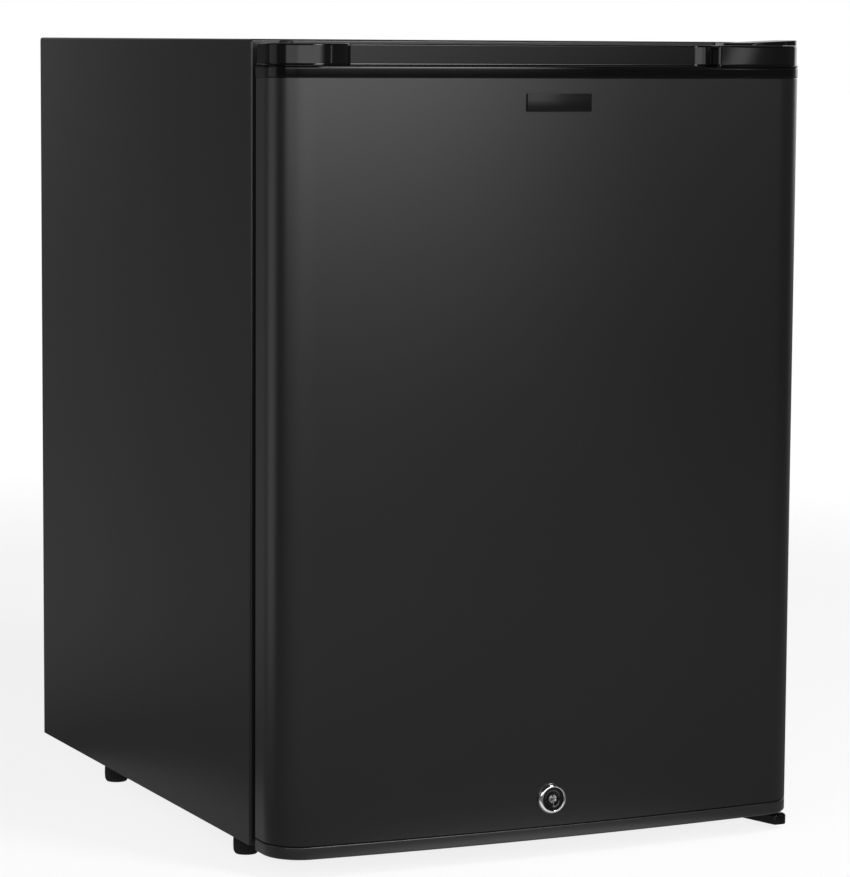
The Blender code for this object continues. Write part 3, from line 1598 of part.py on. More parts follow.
def lock(door_pieces):
    """The cylinder lock: the housing and its nut stay with the door; the core, the cam and
    the cam's screw turn. The unlocked cam points down, clear of the strike."""
    holes = rod(
        "lock_hole",
        (0, DOOR_FRONT - BEZEL_PROUD, LOCK_Z),
        (0, FACE, LOCK_Z),
        BARREL_RADIUS + CLEAR,
    )
    for piece in door_pieces:
        cut(piece, holes)
    barrel_end = PLATE_REAR + CLEAR + NUT_THICKNESS + CLEAR
    depth = barrel_end - DOOR_FRONT
    bore = CORE_RADIUS + CLEAR
    rim = BEZEL_PROUD / 3
    housing = turned(
        "lock_housing",
        [
            (BEZEL_RADIUS - rim, BEZEL_PROUD),
            (BEZEL_RADIUS, BEZEL_PROUD - rim),
            (BEZEL_RADIUS, CLEAR),
            (BARREL_RADIUS, CLEAR),
            (BARREL_RADIUS, -depth),
            (bore, -depth),
            (bore, BEZEL_PROUD - 2 * rim),
            (BARREL_RADIUS - rim, BEZEL_PROUD - rim),
        ],
        (0, DOOR_FRONT, LOCK_Z),
        (0, -1, 0),
        CHROME,
        ring=True,
    )
    corner = NUT_FLATS / math.sqrt(3)
    nut = rod(
        "lock_nut",
        (0, PLATE_REAR + CLEAR, LOCK_Z),
        (0, PLATE_REAR + CLEAR + NUT_THICKNESS, LOCK_Z),
        corner,
        ZINC,
        sides=6,
    )
    nut_hole = rod(
        "nut_hole", (0, DOOR_REAR - NUT_THICKNESS, LOCK_Z), (0, FACE, LOCK_Z), BARREL_RADIUS + CLEAR
    )
    cut(nut, nut_hole)

    core_front = DOOR_FRONT - BEZEL_PROUD + 1.5 * rim
    core_end = barrel_end + CLEAR
    core = rod("lock_core", (0, core_front, LOCK_Z), (0, core_end, LOCK_Z), CORE_RADIUS, CHROME)
    keyway = box(
        "keyway",
        (-KEYWAY_WIDTH / 2, KEYWAY_WIDTH / 2),
        (core_front - rim, core_front + 3 * rim),
        (LOCK_Z - 0.7 * CORE_RADIUS, LOCK_Z + 0.7 * CORE_RADIUS),
    )
    thread = SCREW_RADIUS + CLEAR
    screw_run = 4 * SCREW_RADIUS
    screw_bore = rod(
        "cam_screw_bore",
        (0, core_end - screw_run - CLEAR, LOCK_Z),
        (0, core_end + CAM_THICKNESS, LOCK_Z),
        thread,
        sides=12,
    )
    cut(core, keyway, screw_bore)

    cam_y = (core_end + CLEAR, core_end + CLEAR + CAM_THICKNESS)
    steps = 6
    hub = 1.2 * CAM_HALF
    outline = []
    for i in range(2 * steps + 1):
        turn = math.pi * i / (2 * steps)
        outline.append((hub * math.cos(turn), LOCK_Z + hub * math.sin(turn)))
    for i in range(steps + 1):
        turn = math.pi + math.pi * i / steps
        outline.append(
            (CAM_HALF * math.cos(turn), LOCK_Z - CAM_LENGTH + CAM_HALF + CAM_HALF * math.sin(turn))
        )
    cam = prism("lock_cam", outline, cam_y, ZINC, axis="Y")
    cam_hole = rod("cam_hole", (0, core_end, LOCK_Z), (0, FACE, LOCK_Z), thread, sides=12)
    cut(cam, cam_hole)
    head = cam_y[1] + CLEAR
    cam_screw = turned(
        "lock_cam_screw",
        [
            (0, SCREW_HEAD_HEIGHT),
            (0.8 * SCREW_HEAD, 0.8 * SCREW_HEAD_HEIGHT),
            (SCREW_HEAD, 0),
            (SCREW_RADIUS, 0),
            (SCREW_RADIUS, -screw_run - CAM_THICKNESS),
            (0, -screw_run - CAM_THICKNESS),
        ],
        (0, head, LOCK_Z),
        (0, 1, 0),
        ZINC,
        steps=12,
    )
    carry(pivot("lock_axis", (0, core_front, LOCK_Z)), core, cam, cam_screw)
    return [housing, nut], cam_y


def strike(body, cam_y):
    """The plate on the base pan's front, whose lip the turned cam swings in behind."""
    z = (LOCK_Z - STRIKE_HALF, LOCK_Z + STRIKE_HALF)
    base_y = (FACE - CLEAR - STRIKE_THICKNESS, FACE - CLEAR)
    lip_y = (cam_y[0] - CLEAR - STRIKE_THICKNESS, cam_y[0] - CLEAR)
    lip_end = STRIKE_START + STRIKE_LIP
    plate = box(
        "strike_plate", (STRIKE_START, lip_end + STRIKE_BASE), base_y, z, ZINC
    )
    riser = box("strike_riser", (lip_end - STRIKE_THICKNESS, lip_end), (lip_y[0], base_y[1]), z)
    lip = box("strike_lip", (STRIKE_START, lip_end), lip_y, z)
    join(plate, riser, lip)
    x = lip_end + STRIKE_BASE / 2
    for place, up in (("upper", 0.5), ("lower", -0.5)):
        _, hole = screw(
            f"strike_screw_{place}", x, base_y[0], LOCK_Z + up * STRIKE_HALF, SCREW_LENGTH
        )
        for target in (plate, body["pan"], body["foam"]):
            cut(target, hole)


def foot(name, x, y, body):
    """A ribbed levelling foot, screwed right in, with its stud up through the base pan."""
    top = BOTTOM - CLEAR
    made = ridged_knob(
        name,
        [
            (0.86 * FOOT_RADIUS, -top),
            (0.97 * FOOT_RADIUS, -0.85 * top),
            (FOOT_RADIUS, -0.4 * top),
            (0.92 * FOOT_RADIUS, 0),
        ],
        20,
        0.06 * FOOT_RADIUS,
        (x, y, top),
        (0, 0, 1),
        BLACK_RUBBER,
    )
    stud = rod(
        name + "_stud", (x, y, top / 2), (x, y, BOTTOM + STUD_LENGTH), STUD_RADIUS, sides=16
    )
    join(made, stud)
    hole = rod(
        name + "_hole",
        (x, y, top),
        (x, y, BOTTOM + STUD_LENGTH + CLEAR),
        STUD_RADIUS + 2 * CLEAR,
        sides=16,
    )
    cut(body["pan"], hole)
    cut(body["foam"], hole)
    carry(pivot(name + "_thread", (x, y, 0)), made)


def main():
    for obj in list(bpy.data.objects):
        bpy.data.objects.remove(obj, do_unlink=True)
    bpy.context.scene.collection.children.link(PARTS)
    bpy.context.scene.collection.children.link(CUTTERS)

    body = cabinet()
    door_switch(body)
    controls()
    for name, rib in SHELF_RIBS.items():
        shelf(name, RIB_LEVELS[rib])
    evaporator(body)
    cooling_unit(body)
    mains_connection()
    hinges(body)

    pieces, foam, skin, liner = door_shell()
    racks = [bottle_rack(name, level) for name, level in RACK_LEVELS.items()]
    badge_z = SKIN_TOP - BADGE_DROP
    badge = box(
        "badge_plate",
        (-BADGE_WIDTH / 2, BADGE_WIDTH / 2),
        (DOOR_FRONT - CLEAR - BADGE_THICKNESS, DOOR_FRONT - CLEAR),
        (badge_z - BADGE_HEIGHT / 2, badge_z + BADGE_HEIGHT / 2),
        GLOSS_BLACK,
    )
    bevel(badge, BADGE_THICKNESS / 3)
    lock_pieces, cam_y = lock([foam, skin, liner])
    strike(body, cam_y)
    hinge = pivot("door_hinge", (HINGE_X, HINGE_Y, BOTTOM))
    carry(hinge, *pieces, gasket(), *racks, badge, *lock_pieces)

    foot_x = HALF_WIDTH - FOOT_INSET
    for row, y in (("front", FACE + FRONT_FOOT), ("rear", BULKHEAD - REAR_FOOT)):
        foot(f"foot_{row}_left", -foot_x, y, body)
        foot(f"foot_{row}_right", foot_x, y, body)


main()
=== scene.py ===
"""The looks of the minibar fridge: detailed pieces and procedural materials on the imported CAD.

Metres, in the CAD's own frame: +Z up, the door faces -Y, the origin on the floor.
"""

import json
import math

import bmesh
import bpy
from mathutils import Matrix, Vector


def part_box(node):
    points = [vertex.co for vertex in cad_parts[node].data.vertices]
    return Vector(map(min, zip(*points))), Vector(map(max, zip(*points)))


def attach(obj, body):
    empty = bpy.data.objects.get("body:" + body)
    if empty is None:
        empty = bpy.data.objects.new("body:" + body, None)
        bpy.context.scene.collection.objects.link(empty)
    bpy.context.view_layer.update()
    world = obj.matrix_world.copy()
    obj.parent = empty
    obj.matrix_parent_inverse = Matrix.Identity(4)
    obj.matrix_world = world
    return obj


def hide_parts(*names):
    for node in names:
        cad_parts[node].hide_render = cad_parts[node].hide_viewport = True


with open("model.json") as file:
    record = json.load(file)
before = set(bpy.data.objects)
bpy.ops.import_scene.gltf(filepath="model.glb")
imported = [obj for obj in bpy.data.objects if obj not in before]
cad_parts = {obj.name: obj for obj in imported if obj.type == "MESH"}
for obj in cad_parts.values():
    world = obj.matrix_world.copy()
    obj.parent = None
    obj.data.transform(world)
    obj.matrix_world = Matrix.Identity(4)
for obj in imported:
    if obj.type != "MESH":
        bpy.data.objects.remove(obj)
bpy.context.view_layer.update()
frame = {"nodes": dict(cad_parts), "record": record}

RECORD = frame["record"]
BODY = {node: body for body, nodes in RECORD["behaviour"]["bodies"].items() for node in nodes}
MM = 0.001

# Sizes, as the CAD has them
HALF_WIDTH = 201 * MM
FACE = -186 * MM
BACK = 246 * MM
BOTTOM = 16 * MM
TOP = 561 * MM
SHEET = 0.8 * MM
FOLD = 2 * MM
FLANGE = 30 * MM
REAR_FLANGE = 12 * MM
DOOR_REAR = -196 * MM
DOOR_FRONT = -242.5 * MM
BOW = 8.5 * MM
CORNER = 27 * MM
DOOR_TOP = 558.5 * MM
LEDGE = 544 * MM
BAND_BOTTOM = 536 * MM
SKIN_TOP = 535.7 * MM
SKIN_BOTTOM = 24 * MM
BOTTOM_TRIM_TOP = 23.2 * MM
DOOR_BOTTOM = 14.5 * MM
HINGE_X = 187 * MM
HINGE_Y = -214 * MM
UPPER_BUSH_FLOOR = 549.2 * MM
LOWER_BUSH_ROOF = 22.9 * MM
BUSH_HOLE = 5.8 * MM
LOCK_Z = 43 * MM
LOCK_HOLE = 8.3 * MM
UNIT_Y = 200 * MM
VESSEL_TOP = 94 * MM
DIAL_X = 130.7 * MM
DIAL_Y = -68 * MM
DIAL_Z = 485.2 * MM

# The camera
VIEW_LENS = 145.27
VIEW_YAW = 24.952
VIEW_PITCH = -6.437
VIEW_ROLL = 0.369
VIEW_PLACE = (-1.0897, -2.3742, 0.5615)

# The room's brightness at eye level and overhead, and that of the backdrop in a mirror
ROOM = 0.11
CEILING = 0.03
BACKDROP = 0.55

# The floor's grey, and how far from its middle the painted pool of light, seen only in a mirror,
# fades out
FLOOR_TONE = 0.30
PAINTED_POOL = (0.285, 0.345)

# Each lamp's place, target, size, glare and width of its soft edges
SOFTBOXES = {
    "front": ((-0.315, -2.10, 0.93), (-0.315, 0.0, 0.88), (2.87, 1.1), 2.5, (0.5, 0.2)),
    "corner": ((-1.75, -1.45, 0.9), (-0.18, -0.2, 0.5), (1.4, 1.1), 1.7, (0.25, 0.2)),
    "top": ((0.76, -1.75, 2.2), (0.2, -0.2, 0.4), (0.7, 1.2), 12.0, (0.12, 0.2)),
    "left": ((-0.755, 0.025, 0.48), (-0.2, -0.2, 0.45), (0.38, 1.0), 0.45, (0.07, 0.08)),
    "right": ((1.36, -1.84, 0.9), (0.16, -0.24, 0.5), (0.07, 0.9), 2.3, (0.015, 0.2)),
    "rear": ((2.1, 1.0, 0.8), (0.2, 0.1, 0.4), (1.3, 1.2), 1.3, (0.4, 0.4)),
}


class Graph:
    """Adds nodes to a material. An input is a constant, or an output to link from."""

    def __init__(self, tree):
        self.tree = tree

    def node(self, kind, inputs=None, output=0, **settings):
        made = self.tree.nodes.new("ShaderNode" + kind)
        for key, value in settings.items():
            setattr(made, key, value)
        for key, value in (inputs or {}).items():
            if isinstance(value, bpy.types.NodeSocket):
                self.tree.links.new(value, made.inputs[key])
            else:
                made.inputs[key].default_value = value
        return made.outputs[output]

    def math(self, operation, *values):
        return self.node("Math", dict(enumerate(values)), operation=operation)

    def noise(self, coords, scale, detail=2.0, roughness=0.5, stretch=None):
        if stretch:
            coords = self.node("Mapping", {"Vector": coords, "Scale": stretch})
        return self.node(
            "TexNoise",
            {"Vector": coords, "Scale": scale, "Detail": detail, "Roughness": roughness},
        )

    def dot(self, a, b):
        return self.node("VectorMath", {0: a, 1: b}, operation="DOT_PRODUCT", output="Value")

    def fade(self, value, start, end, low, high):
        """A smooth change from low to high as the value goes from start to end."""
        inputs = {"Value": value, "From Min": start, "From Max": end, "To Min": low, "To Max": high}
        return self.node("MapRange", inputs, interpolation_type="SMOOTHSTEP")

    def ray(self, *kinds):
        """One where a ray is of one of these kinds, and nought elsewhere."""
        seen = self.node("LightPath", output=kinds[0])
        for kind in kinds[1:]:
            seen = self.math("MAXIMUM", seen, self.node("LightPath", output=kind))
        return seen


def surface(
    name,
    colour,
    roughness,
    metallic=0.0,
    specular=0.5,
    grain=600.0,
    grain_tone=0.05,
    mottle=12.0,
    mottle_tone=0.06,
    swing=0.05,
    bump=0.01 * MM,
    stretch=None,
    **constants,
):
    """A procedural finish: fine grain and a broad mottle in colour and roughness, and a bump
    from the grain. A stretch turns the grain into brushed or drawn lines."""
    made = bpy.data.materials.new(name)
    made.use_nodes = True
    graph = Graph(made.node_tree)
    shader = made.node_tree.nodes["Principled BSDF"]
    coords = graph.node("TexCoord", output="Object")
    fine = graph.noise(coords, grain, 3.0, 0.6, stretch)
    broad = graph.noise(coords, mottle, 3.0, 0.55)
    tone = graph.math("MULTIPLY_ADD", fine, 2 * grain_tone, 1 - grain_tone - mottle_tone)
    tone = graph.math("MULTIPLY_ADD", broad, 2 * mottle_tone, tone)
    coloured = graph.node("VectorMath", {0: colour, "Scale": tone}, operation="SCALE")
    rough = graph.math("MULTIPLY_ADD", fine, swing, roughness - swing)
    rough = graph.math("MULTIPLY_ADD", broad, swing, rough)
    raised = graph.node("Bump", {"Strength": 1.0, "Distance": bump, "Height": fine})
    links = made.node_tree.links
    links.new(coloured, shader.inputs["Base Color"])
    links.new(rough, shader.inputs["Roughness"])
    links.new(raised, shader.inputs["Normal"])
    shader.inputs["Metallic"].default_value = metallic
    shader.inputs["Specular IOR Level"].default_value = specular
    for key, value in constants.items():
        shader.inputs[key.replace("_", " ")].default_value = value
    made.diffuse_color = (*colour, 1.0)
    return made


def grey(value):
    return (value, value, value)


PAINT = surface(
    "satin_black_paint", grey(0.014), 0.34, specular=0.55, grain=420, mottle=5, bump=0.012 * MM
)
FILM = surface(
    "grained_black_film", grey(0.010), 0.29, specular=0.8, grain=900, grain_tone=0.22,
    mottle=5, bump=0.02 * MM,
)
GLOSS = surface(
    "gloss_black_plastic", grey(0.005), 0.07, specular=0.34, grain=160, mottle=30,
    swing=0.02, bump=0.003 * MM,
)
SATIN = surface("satin_black_plastic", grey(0.019), 0.3, specular=0.85, bump=0.006 * MM)
MATT = surface("moulded_black_plastic", grey(0.018), 0.5, grain=1500, bump=0.02 * MM)
RUBBER = surface("black_rubber", grey(0.016), 0.62, specular=0.4, grain=1300, bump=0.03 * MM)
SEAL = surface("gasket_rubber", grey(0.022), 0.5, specular=0.4, grain=900)
LINER = surface(
    "white_liner_plastic", (0.78, 0.79, 0.78), 0.32, grain=500, grain_tone=0.01,
    mottle=6, mottle_tone=0.02, bump=0.006 * MM,
)
NYLON = surface("white_nylon", (0.72, 0.71, 0.67), 0.42, grain=900, grain_tone=0.02)
MILKY = surface(
    "milky_plastic", (0.76, 0.785, 0.79), 0.16, grain=300, grain_tone=0.02, mottle_tone=0.03,
    bump=0.004 * MM, Transmission_Weight=0.35, IOR=1.49,
)
LENS = surface(
    "lamp_lens_plastic", (0.86, 0.86, 0.82), 0.12, grain=300, grain_tone=0.02,
    bump=0.004 * MM, Transmission_Weight=0.55, IOR=1.49,
)
FOAM = surface(
    "polyurethane_foam", (0.74, 0.62, 0.34), 0.85, specular=0.2, grain=700, grain_tone=0.16,
    mottle=40, mottle_tone=0.1, bump=0.15 * MM,
)
ZINC = surface(
    "zinc_plated_steel", (0.55, 0.56, 0.57), 0.34, 1.0, grain=260, grain_tone=0.08,
    mottle=60, mottle_tone=0.12, swing=0.1, bump=0.008 * MM,
)
CHROME = surface(
    "chrome", (0.78, 0.78, 0.79), 0.05, 1.0, grain=300, grain_tone=0.01, mottle=60,
    mottle_tone=0.02, swing=0.02, bump=0.001 * MM,
)
# Chrome with its colour painted dark: a painted dark reflection, standing in for the dim room that
# a lock face would mirror
CHROME_PAINTED_DARK_REFLECTION = surface(
    "chrome_painted_dark_reflection", (0.045, 0.045, 0.048), 0.14, 0.9, grain=700, grain_tone=0.08,
    mottle_tone=0.05, bump=0.002 * MM,
)
STEEL = surface(
    "turned_steel", (0.62, 0.62, 0.63), 0.22, 1.0, grain=500, swing=0.06, bump=0.003 * MM
)
ALUMINIUM = surface(
    "rolled_aluminium", (0.72, 0.73, 0.74), 0.3, 1.0, grain=900, grain_tone=0.06, swing=0.08,
    bump=0.006 * MM, stretch=(1.0, 1.0, 0.06),
)
WIRE = surface(
    "coated_wire", (0.80, 0.80, 0.78), 0.26, grain=350, grain_tone=0.02, mottle_tone=0.03,
    bump=0.02 * MM,
)
UNIT = surface(
    "painted_unit_steel", grey(0.022), 0.5, specular=0.4, grain=450, grain_tone=0.1,
    mottle=25, mottle_tone=0.15, swing=0.12, bump=0.04 * MM,
)
PLATE = surface(
    "badge_black", grey(0.008), 0.3, specular=0.27, grain=700, grain_tone=0.1, bump=0.003 * MM
)
PRINT = surface("grey_print", grey(0.05), 0.5, grain=900, bump=0.002 * MM)


def in_mm(pairs):
    """Pairs of millimetres, in metres."""
    return [(a * MM, b * MM) for a, b in pairs]


def quarter(steps):
    """The angles of a quarter turn, with both its ends."""
    return [math.pi / 2 * i / steps for i in range(steps + 1)]


def arc(centre, radius, start, end, steps=8):
    """The points of an arc between two angles in degrees."""
    turns = [math.radians(start + (end - start) * i / steps) for i in range(steps + 1)]
    return [(centre[0] + radius * math.cos(t), centre[1] + radius * math.sin(t)) for t in turns]


def placed(name, data):
    """A new object in the scene."""
    obj = bpy.data.objects.new(name, data)
    bpy.context.scene.collection.objects.link(obj)
    return obj


def mesh_object(name, *parts):
    """One object from several (points, faces), with shared points joined and faces outwards."""
    points, faces = [], []
    for some_points, some_faces in parts:
        start = len(points)
        points += [tuple(point) for point in some_points]
        faces += [tuple(start + i for i in face) for face in some_faces]
    mesh = bpy.data.meshes.new(name)
    mesh.from_pydata(points, [], faces)
    shape = bmesh.new()
    shape.from_mesh(mesh)
    bmesh.ops.remove_doubles(shape, verts=shape.verts, dist=1e-7)
    bmesh.ops.recalc_face_normals(shape, faces=shape.faces)
    shape.to_mesh(mesh)
    shape.free()
    return placed(name, mesh)


def frozen(obj, *helpers):
    """Applies an object's modifiers and removes the helpers that they used."""
    bpy.context.view_layer.update()
    graph = bpy.context.evaluated_depsgraph_get()
    mesh = bpy.data.meshes.new_from_object(obj.evaluated_get(graph))
    obj.modifiers.clear()
    obj.data = mesh
    for helper in helpers:
        bpy.data.objects.remove(helper, do_unlink=True)
    return obj


def cut(obj, *cutters, union=False):
    """Cuts other objects out of one, or joins them to it."""
    for cutter in cutters:
        change = obj.modifiers.new("boolean", "BOOLEAN")
        change.operation = "UNION" if union else "DIFFERENCE"
        change.object = cutter
    return frozen(obj, *cutters)


def rounded(obj, width, segments=3, angle=35.0):
    """Rounds the edges that turn by more than an angle in degrees."""
    change = obj.modifiers.new("bevel", "BEVEL")
    change.width = width
    change.segments = segments
    change.limit_method = "ANGLE"
    change.angle_limit = math.radians(angle)
    return frozen(obj)


def shown(obj, material, *nodes, angle=35.0, body=None, stands=True):
    """Gives a piece its finish and shading, and puts it on its body. Unless it stands beside them,
    the CAD nodes that it stands for are hidden.
    """
    obj.data.materials.clear()
    obj.data.materials.append(material)
    obj.data.shade_smooth()
    obj.data.set_sharp_from_angle(angle=math.radians(angle))
    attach(obj, body or BODY[nodes[0]])
    if nodes:
        if stands:
            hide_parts(*nodes)
    return obj


def refined(node, material, width=0.0, segments=2, angle=35.0):
    """A copy of a CAD node with welded faces and small rounded edges."""
    shape = bmesh.new()
    shape.from_mesh(frame["nodes"][node].data)
    bmesh.ops.remove_doubles(shape, verts=shape.verts, dist=2e-6)
    bmesh.ops.dissolve_limit(
        shape, angle_limit=math.radians(0.5), verts=shape.verts, edges=shape.edges
    )
    mesh = bpy.data.meshes.new(node + "_finished")
    shape.to_mesh(mesh)
    shape.free()
    obj = placed(node + "_finished", mesh)
    if width:
        rounded(obj, width, segments)
    return shown(obj, material, node, angle=angle)


def block(x, y, z):
    """A box between two places on each axis."""
    points = [(a, b, c) for c in z for b in y for a in x]
    faces = [(0, 2, 3, 1), (4, 5, 7, 6), (0, 1, 5, 4), (2, 6, 7, 3), (0, 4, 6, 2), (1, 3, 7, 5)]
    return points, faces


def loft(rings, caps=True):
    """Skins a row of closed rings of points, all with the same count."""
    count = len(rings[0])
    points = [point for ring in rings for point in ring]
    faces = []
    for start in range(0, count * (len(rings) - 1), count):
        for i in range(count):
            j = (i + 1) % count
            faces.append((start + i, start + j, start + count + j, start + count + i))
    if caps:
        last = count * (len(rings) - 1)
        faces += [tuple(reversed(range(count))), tuple(range(last, last + count))]
    return points, faces


def inset(outline, amount):
    """A closed outline, anticlockwise, with every side moved inwards."""
    moved = []
    for i, (x, y) in enumerate(outline):
        before = Vector((x - outline[i - 1][0], y - outline[i - 1][1])).normalized()
        after = outline[(i + 1) % len(outline)]
        after = Vector((after[0] - x, after[1] - y)).normalized()
        a, b = Vector((-before.y, before.x)), Vector((-after.y, after.x))
        shift = (a + b) / (1 + a.dot(b)) * amount
        moved.append((x + shift.x, y + shift.y))
    return moved


def stacked(outline, levels):
    """An outline skinned through levels, each an amount to move it inwards and a height."""
    return loft([[(x, y, z) for x, y in inset(outline, amount)] for amount, z in levels])


def slab(outline, low, high, lower_edge=0.0, upper_edge=0.0, steps=5):
    """A flat outline between two heights, with rounded lower and upper edges."""

    def rounding(edge, z, way):
        if not edge:
            return [(0.0, z)]
        turns = quarter(steps)
        return [(edge * (1 - math.sin(t)), z + way * edge * (1 - math.cos(t))) for t in turns]

    return stacked(outline, rounding(lower_edge, low, 1) + rounding(upper_edge, high, -1)[::-1])


def lathe(profile, at, axis=(0, 0, 1), steps=96, ring=False):
    """A turned shape from (radius, height) pairs. A ring's profile closes on itself."""
    turn = Vector(axis).to_track_quat("Z", "Y").to_matrix()
    points, faces, rows = [], [], []
    for radius, height in profile:
        if radius < 1e-7:
            rows.append([len(points)] * steps)
            points.append(Vector(at) + turn @ Vector((0, 0, height)))
            continue
        rows.append(list(range(len(points), len(points) + steps)))
        for i in range(steps):
            angle = 2 * math.pi * i / steps
            place = Vector((radius * math.cos(angle), radius * math.sin(angle), height))
            points.append(Vector(at) + turn @ place)
    pairs = list(zip(rows, rows[1:])) + ([(rows[-1], rows[0])] if ring else [])
    for low, high in pairs:
        for i in range(steps):
            j = (i + 1) % steps
            face = []
            for corner in (low[i], low[j], high[j], high[i]):
                if corner not in face:
                    face.append(corner)
            faces.append(tuple(face))
    return points, faces


def rod(start, end, radius, steps=32, edge=0.0):
    """A round bar, with slightly rounded rims where no edge is given."""
    run = (Vector(end) - Vector(start)).length
    edge = edge or radius * 0.02
    half = [(0, 0), (radius - edge, 0), (radius - 0.3 * edge, 0.3 * edge), (radius, edge)]
    profile = half + [(across, run - along) for across, along in reversed(half)]
    return lathe(profile, start, Vector(end) - Vector(start), steps)


def pipe(points, radius, steps=24):
    """A round tube along a line of points, with domed ends."""
    points = [Vector(point) for point in points]
    turns = [2 * math.pi * i / steps for i in range(steps)]
    circles, ways = [], []
    side = None
    for i, point in enumerate(points):
        way = (points[min(i + 1, len(points) - 1)] - points[max(i - 1, 0)]).normalized()
        if side is None:
            side = way.orthogonal().normalized()
        side = (side - way * side.dot(way)).normalized()
        up = way.cross(side)
        circles.append([point + (side * math.cos(t) + up * math.sin(t)) * radius for t in turns])
        ways.append(way)

    def dome(circle, middle, out):
        rings = []
        for t in (math.radians(35), math.radians(70)):
            tip = out * 0.35 * radius * math.sin(t)
            rings.append([middle + (point - middle) * math.cos(t) + tip for point in circle])
        return rings

    first = dome(circles[0], points[0], -ways[0])
    last = dome(circles[-1], points[-1], ways[-1])
    return loft(first[::-1] + circles + last)


def routed(corners, bend, steps=14):
    """A route's points, with each inner corner rounded."""
    corners = [Vector(corner) for corner in corners]
    points = [corners[0]]
    for before, corner, after in zip(corners, corners[1:], corners[2:]):
        into, out = (corner - before).normalized(), (after - corner).normalized()
        turn = into.angle(out)
        start = corner - into * bend * math.tan(turn / 2)
        centre = start + (out - into * into.dot(out)).normalized() * bend
        axis = into.cross(out).normalized()
        for step in range(steps + 1):
            points.append(centre + Matrix.Rotation(turn * step / steps, 3, axis) @ (start - centre))
    return points + [corners[-1]]


def ribbed(radius, depth, ridges, sharpness, each=6):
    """The points round a ribbed circle, with grooves of a depth between its ridges."""
    points = []
    for i in range(ridges * each):
        turn = 2 * math.pi * i / (ridges * each)
        wave = 0.5 - 0.5 * math.cos(ridges * turn)
        reach = radius - depth * wave**sharpness
        points.append((reach * math.cos(turn), reach * math.sin(turn)))
    return points


def domed(radius, height):
    """A screw head's profile: a dome on a short upright rim."""
    dome = [(radius * math.sin(t), height * (0.35 + 0.65 * math.cos(t))) for t in quarter(6)]
    return [*dome, (radius, 0), (0, 0)]


def cabinet():
    """The wrapper with its folded flanges and mitred corners, the pan, bulkhead and liner."""
    below = BOTTOM - 3 * FOLD
    shell = mesh_object(
        "cabinet_wrapper", block((-HALF_WIDTH, HALF_WIDTH), (FACE, BACK), (below, TOP))
    )
    rounded(shell, FOLD, 8)
    under = below - FOLD
    hollow_x, front_x, rear_x = (HALF_WIDTH - wall for wall in (SHEET, FLANGE, REAR_FLANGE))
    hollow = mesh_object(
        "hollow",
        block((-hollow_x, hollow_x), (FACE + SHEET, BACK - SHEET), (under, TOP - SHEET)),
    )
    rounded(hollow, FOLD - SHEET, 5)
    front, rear = (FACE - SHEET, FACE + 2 * SHEET), (BACK - 2 * SHEET, BACK + SHEET)
    openings = [
        block((-front_x, front_x), front, (under, TOP - FLANGE)),
        block((-rear_x, rear_x), rear, (under, TOP - REAR_FLANGE)),
        block((-2 * HALF_WIDTH, 2 * HALF_WIDTH), (2 * FACE, 2 * BACK), (under, BOTTOM)),
    ]
    cutters = [mesh_object("opening", opening) for opening in openings]
    cut(shell, hollow, *cutters, mitre(-1), mitre(1))
    shown(shell, PAINT, "cabinet_shell")
    refined("base_pan", PAINT, 0.3 * MM)
    refined("rear_bulkhead", ZINC, angle=15)
    refined("cabinet_foam", FOAM)
    refined("inner_liner", LINER, 0.6 * MM, 3)


def mitre(side):
    """A cutter for the thin seam where the front flanges meet at a top corner."""
    half, depth = 0.125 * MM, (FACE - SHEET, FACE + 0.5 * SHEET)
    seam = mesh_object("seam", block((-half, half), depth, (-2 * FLANGE, 0.0)))
    turn = Matrix.Rotation(side * math.radians(45), 4, "Y")
    seam.matrix_world = Matrix.Translation((side * HALF_WIDTH, 0, TOP)) @ turn
    return seam


def bow(x):
    """The depth of the door's bowed face."""
    return DOOR_FRONT + BOW * (x / HALF_WIDTH) ** 2


def door_outline(corner_steps=26, bow_steps=80):
    """The door in plan, anticlockwise from the left end of its rear line."""
    slope = math.atan(2 * BOW / HALF_WIDTH)
    # The slope where the round corner meets the bow settles in a few rounds
    for _ in range(4):
        reach = HALF_WIDTH - CORNER + CORNER * math.sin(slope)
        slope = math.atan(2 * BOW * reach / HALF_WIDTH**2)
    middle_x = CORNER - HALF_WIDTH
    middle_y = bow(reach) + CORNER * math.cos(slope)
    points = [(-HALF_WIDTH, DOOR_REAR)]
    for step in range(corner_steps + 1):
        turn = (math.pi / 2 - slope) * step / corner_steps
        points.append((middle_x - CORNER * math.cos(turn), middle_y - CORNER * math.sin(turn)))
    for step in range(1, bow_steps // 2):
        x = -reach * (1 - 2 * step / bow_steps)
        points.append((x, bow(x)))
    points.append((0.0, DOOR_FRONT))
    return points + [(-x, y) for x, y in reversed(points[:-1])]


def door_skin(outline):
    """The bowed sheet with its rear returns, and a hole for the lock."""
    rows, end = 24, HALF_WIDTH - REAR_FLANGE
    strip = [(-end, DOOR_REAR), *outline, (end, DOOR_REAR)]
    count = len(strip)
    levels = [SKIN_BOTTOM + (SKIN_TOP - SKIN_BOTTOM) * i / rows for i in range(rows + 1)]
    points = [(x, y, z) for z in levels for x, y in strip]
    faces = []
    for row in range(rows):
        for i in range(count - 1):
            a = row * count + i
            faces.append((a, a + 1, a + count + 1, a + count))
    skin = mesh_object("door_outer_skin", (points, faces))
    # An open sheet has no outside of its own: its front faces have to look forwards
    if min(skin.data.polygons, key=lambda face: face.center.y).normal.y > 0:
        skin.data.flip_normals()
    sheet = skin.modifiers.new("sheet", "SOLIDIFY")
    sheet.thickness = SHEET
    sheet.offset = -1
    sheet.use_even_offset = True
    frozen(skin)
    ends = [(0, DOOR_FRONT + way * 20 * MM, LOCK_Z) for way in (-1, 1)]
    shown(cut(skin, mesh_object("hole", rod(*ends, LOCK_HOLE, 96))), FILM, "door_skin")


